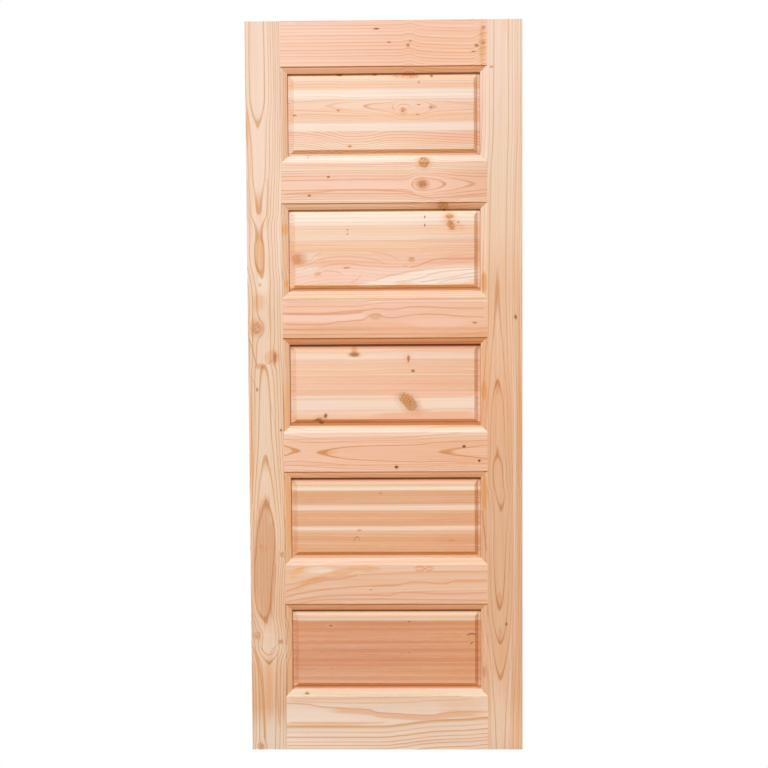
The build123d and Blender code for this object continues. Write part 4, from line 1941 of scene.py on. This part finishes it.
def fifth_panel() -> Panel:
    """A cream strip over two boards of red heartwood."""
    tops = Board(
        node="",
        figure=straight(370, 376, 382, 390),
        finish=Finish(tones=((366, Tone.SAND), (378, Tone.SAND), (386, Tone.BUFF), (405, Tone.CREAM)), line_strength=0.3),
        streaks=streaks(Tone.MOSS, ((100, 372), (662, 373)), strength=0.6, above=0.8, below=1.4),
    )
    upper = Board(
        node="",
        figure=straight(
            258, 264, 270, 277, 285, 293, 301, 307, 314, 321, 329, 337, 344, 351, 359, step=6.5, wander=0.8,
        ),
        finish=Finish(
            tones=(
                (251, Tone.BRICK), (304, Tone.BRICK), (313, Tone.CLAY), (326, Tone.CLAY), (336, Tone.BRICK),
                (361, Tone.BRICK), (366, Tone.CLAY),
            ),
            drift=((100, Tone.CLAY), (350, Tone.BRICK), (662, Tone.AMBER)),
            drift_share=0.5,
            line=Tone.EMBER,
            line_strength=0.3,
            late_share=0.25,
            streaks=0.45,
            rim=Tone.COCOA,
        ),
        knots=(
            Knot(223, 352, 4, 2.2, 1.25),
            Knot(443, 363, 4, 1.8, 1.2),
            Knot(442, 275, 3.5, 1.6, 1.15),
            Knot(197, 278, 3, 1.4, 0.65),
        ),
        streaks=(
            *streaks(
                Tone.COCOA,
                ((606, 323), (614, 329), (621, 330), (633, 325)),
                ((615, 299), (619, 303), (625, 306)),
                strength=0.95, above=1.4, core=2.0, fade=3.0,
            ),
            *streaks(Tone.RUST, ((418, 275), (442, 275)), strength=0.5, fade=6.0),
        ),
        stains_and_shade=(StainAndShade(223, 352, 14, 6, Tone.CLAY, 0.6, 0.6),),
    )
    foot = Board(
        node="",
        figure=straight(190, 198, 206, 214, 222, 228, 236, 243, 248, step=6, wander=0.8),
        finish=Finish(
            tones=((162, Tone.SALMON), (186, Tone.SALMON), (192, Tone.CLAY), (222, Tone.CLAY), (232, Tone.BRICK), (251, Tone.BRICK)),
            drift=((100, Tone.CLAY), (350, Tone.CLAY), (662, Tone.AMBER)),
            drift_share=0.45,
            line=Tone.EMBER,
            line_strength=0.3,
            late_share=0.3,
            streaks=0.45,
            rim=Tone.COCOA,
        ),
        knots=(Knot(224, 230, 3, 1.5, 0.5),),
        # Painted shade: dark band along the panel's down-facing bottom bevel.
        streaks=streaks(Tone.PAINTED_FOOT_SHADE, ((100, 179), (662, 179)), strength=0.8, above=2.0, core=3.0, below=5.0, fade=2.0),
        stains_and_shade=(StainAndShade(150, 229, 30, 2, Tone.RUST, 0.4, 0.6),),
    )
    return Panel(5, (tops, upper, foot))


@dataclass
class Studio:
    """White surroundings with one big soft light, and the camera."""

    camera_place: tuple[float, float, float] = (0.4448, -3.7086, 1.2274)
    camera_turn: float = 1.043
    camera_tilt: float = -3.016
    camera_roll: float = -0.333
    lens: float = 62.3
    sensor: float = 36.0
    floor_half: float = 30.0
    key_aim: tuple[float, float, float] = (0.38, 0.0, 1.0)
    key_way: tuple[float, float, float] = (-0.18, -0.57, 0.75)
    key_distance: float = 40.0
    key_size: float = 4.2
    key_power: float = 20500.0
    key_tint: tuple[float, float, float] = (0.85, 1.0, 1.18)
    rear_way: tuple[float, float, float] = (0.45, 0.8, 0.6)
    rear_power: float = 19000.0
    floor_tint: tuple[float, float, float, float] = (0.44, 0.22, 0.07, 1.0)
    world_light: tuple[float, float, float, float] = (1.0, 0.75, 0.5, 1.0)
    world_strength: float = 0.1

    def floor(self) -> None:
        """Lays the plain pale floor."""
        half = self.floor_half
        corners = [(-half, -half, 0), (half, -half, 0), (half, half, 0), (-half, half, 0)]
        mesh = bpy.data.meshes.new("floor")
        mesh.from_pydata(corners, [], [(0, 1, 2, 3)])
        ground = bpy.data.objects.new("floor", mesh)
        bpy.context.scene.collection.objects.link(ground)
        material = bpy.data.materials.new("pale_floor")
        material.use_nodes = True
        graph = Graph(material.node_tree)
        shader = material.node_tree.nodes["Principled BSDF"]
        shader.inputs["Base Color"].default_value = self.floor_tint
        shader.inputs["Roughness"].default_value = 0.9
        seen = graph.node("ShaderNodeEmission")
        seen.inputs["Color"].default_value = (1.0, 1.0, 1.0, 1.0)
        self.show_to_camera(graph, shader.outputs[0], seen.outputs[0], "Material Output")
        mesh.materials.append(material)

    def show_to_camera(self, graph: Graph, lit: Socket, seen: Socket, end: str) -> None:
        """Lets the camera see one shader and every other ray another.

        Args:
            graph: The tree's graph.
            lit: What light meets.
            seen: What the camera sees.
            end: The name of the tree's output node.
        """
        path = graph.node("ShaderNodeLightPath")
        choice = graph.node("ShaderNodeMixShader")
        graph.feed(choice.inputs[0], path.outputs["Is Camera Ray"])
        graph.feed(choice.inputs[1], lit)
        graph.feed(choice.inputs[2], seen)
        graph.feed(graph.tree.nodes[end].inputs[0], choice.outputs[0])

    def lamp(self, name: str, way: tuple, power: float) -> None:
        """Hangs one big soft light.

        Args:
            name: The light's name.
            way: Where it hangs, seen from the door.
            power: How strong it is, in watts.
        """
        data = bpy.data.lights.new(name, "AREA")
        data.shape = "DISK"
        data.size = self.key_size
        data.energy = power
        data.color = self.key_tint
        lamp = bpy.data.objects.new(name, data)
        outwards = Vector(way).normalized()
        lamp.location = Vector(self.key_aim) + outwards * self.key_distance
        lamp.rotation_euler = (-outwards).to_track_quat("-Z", "Y").to_euler()
        bpy.context.scene.collection.objects.link(lamp)

    def surroundings(self) -> None:
        """White to the camera, and a softer warm white as light."""
        world = bpy.data.worlds.new("studio")
        bpy.context.scene.world = world
        world.use_nodes = True
        graph = Graph(world.node_tree)
        light = world.node_tree.nodes["Background"]
        light.inputs["Color"].default_value = self.world_light
        light.inputs["Strength"].default_value = self.world_strength
        seen = graph.node("ShaderNodeBackground")
        seen.inputs["Color"].default_value = (1.0, 1.0, 1.0, 1.0)
        self.show_to_camera(graph, light.outputs[0], seen.outputs[0], "World Output")

    def camera(self) -> None:
        """Stands the camera where the picture was taken from."""
        data = bpy.data.cameras.new("camera")
        data.lens = self.lens
        data.sensor_width = self.sensor
        eye = bpy.data.objects.new("camera", data)
        turn = Matrix.Rotation(math.radians(self.camera_turn), 3, "Z")
        tilt = Matrix.Rotation(math.radians(90 + self.camera_tilt), 3, "X")
        roll = Matrix.Rotation(math.radians(self.camera_roll), 3, "Z")
        eye.location = self.camera_place
        eye.rotation_euler = (turn @ tilt @ roll).to_euler()
        bpy.context.scene.collection.objects.link(eye)
        bpy.context.scene.camera = eye

    def build(self) -> None:
        """Sets up floor, light, surroundings and camera."""
        self.floor()
        self.lamp("key", self.key_way, self.key_power)
        self.lamp("rear", self.rear_way, self.rear_power)
        self.surroundings()
        self.camera()
        bpy.context.scene.view_settings.view_transform = "Standard"
        LOG.info("studio: floor, two lights, surroundings and camera")


def main() -> None:
    """Dresses the door from its posts to its last panel, then sets up the studio."""
    logging.basicConfig(level=logging.INFO, format="%(name)s: %(message)s")
    effects = Effects()
    panels = (first_panel(), second_panel(), third_panel(), fourth_panel(), fifth_panel())
    for part in (Stiles(), Rails(), *panels):
        for board in part.boards():
            board.dress(effects)
    Studio().build()


if __name__ == "__main__":
    main()
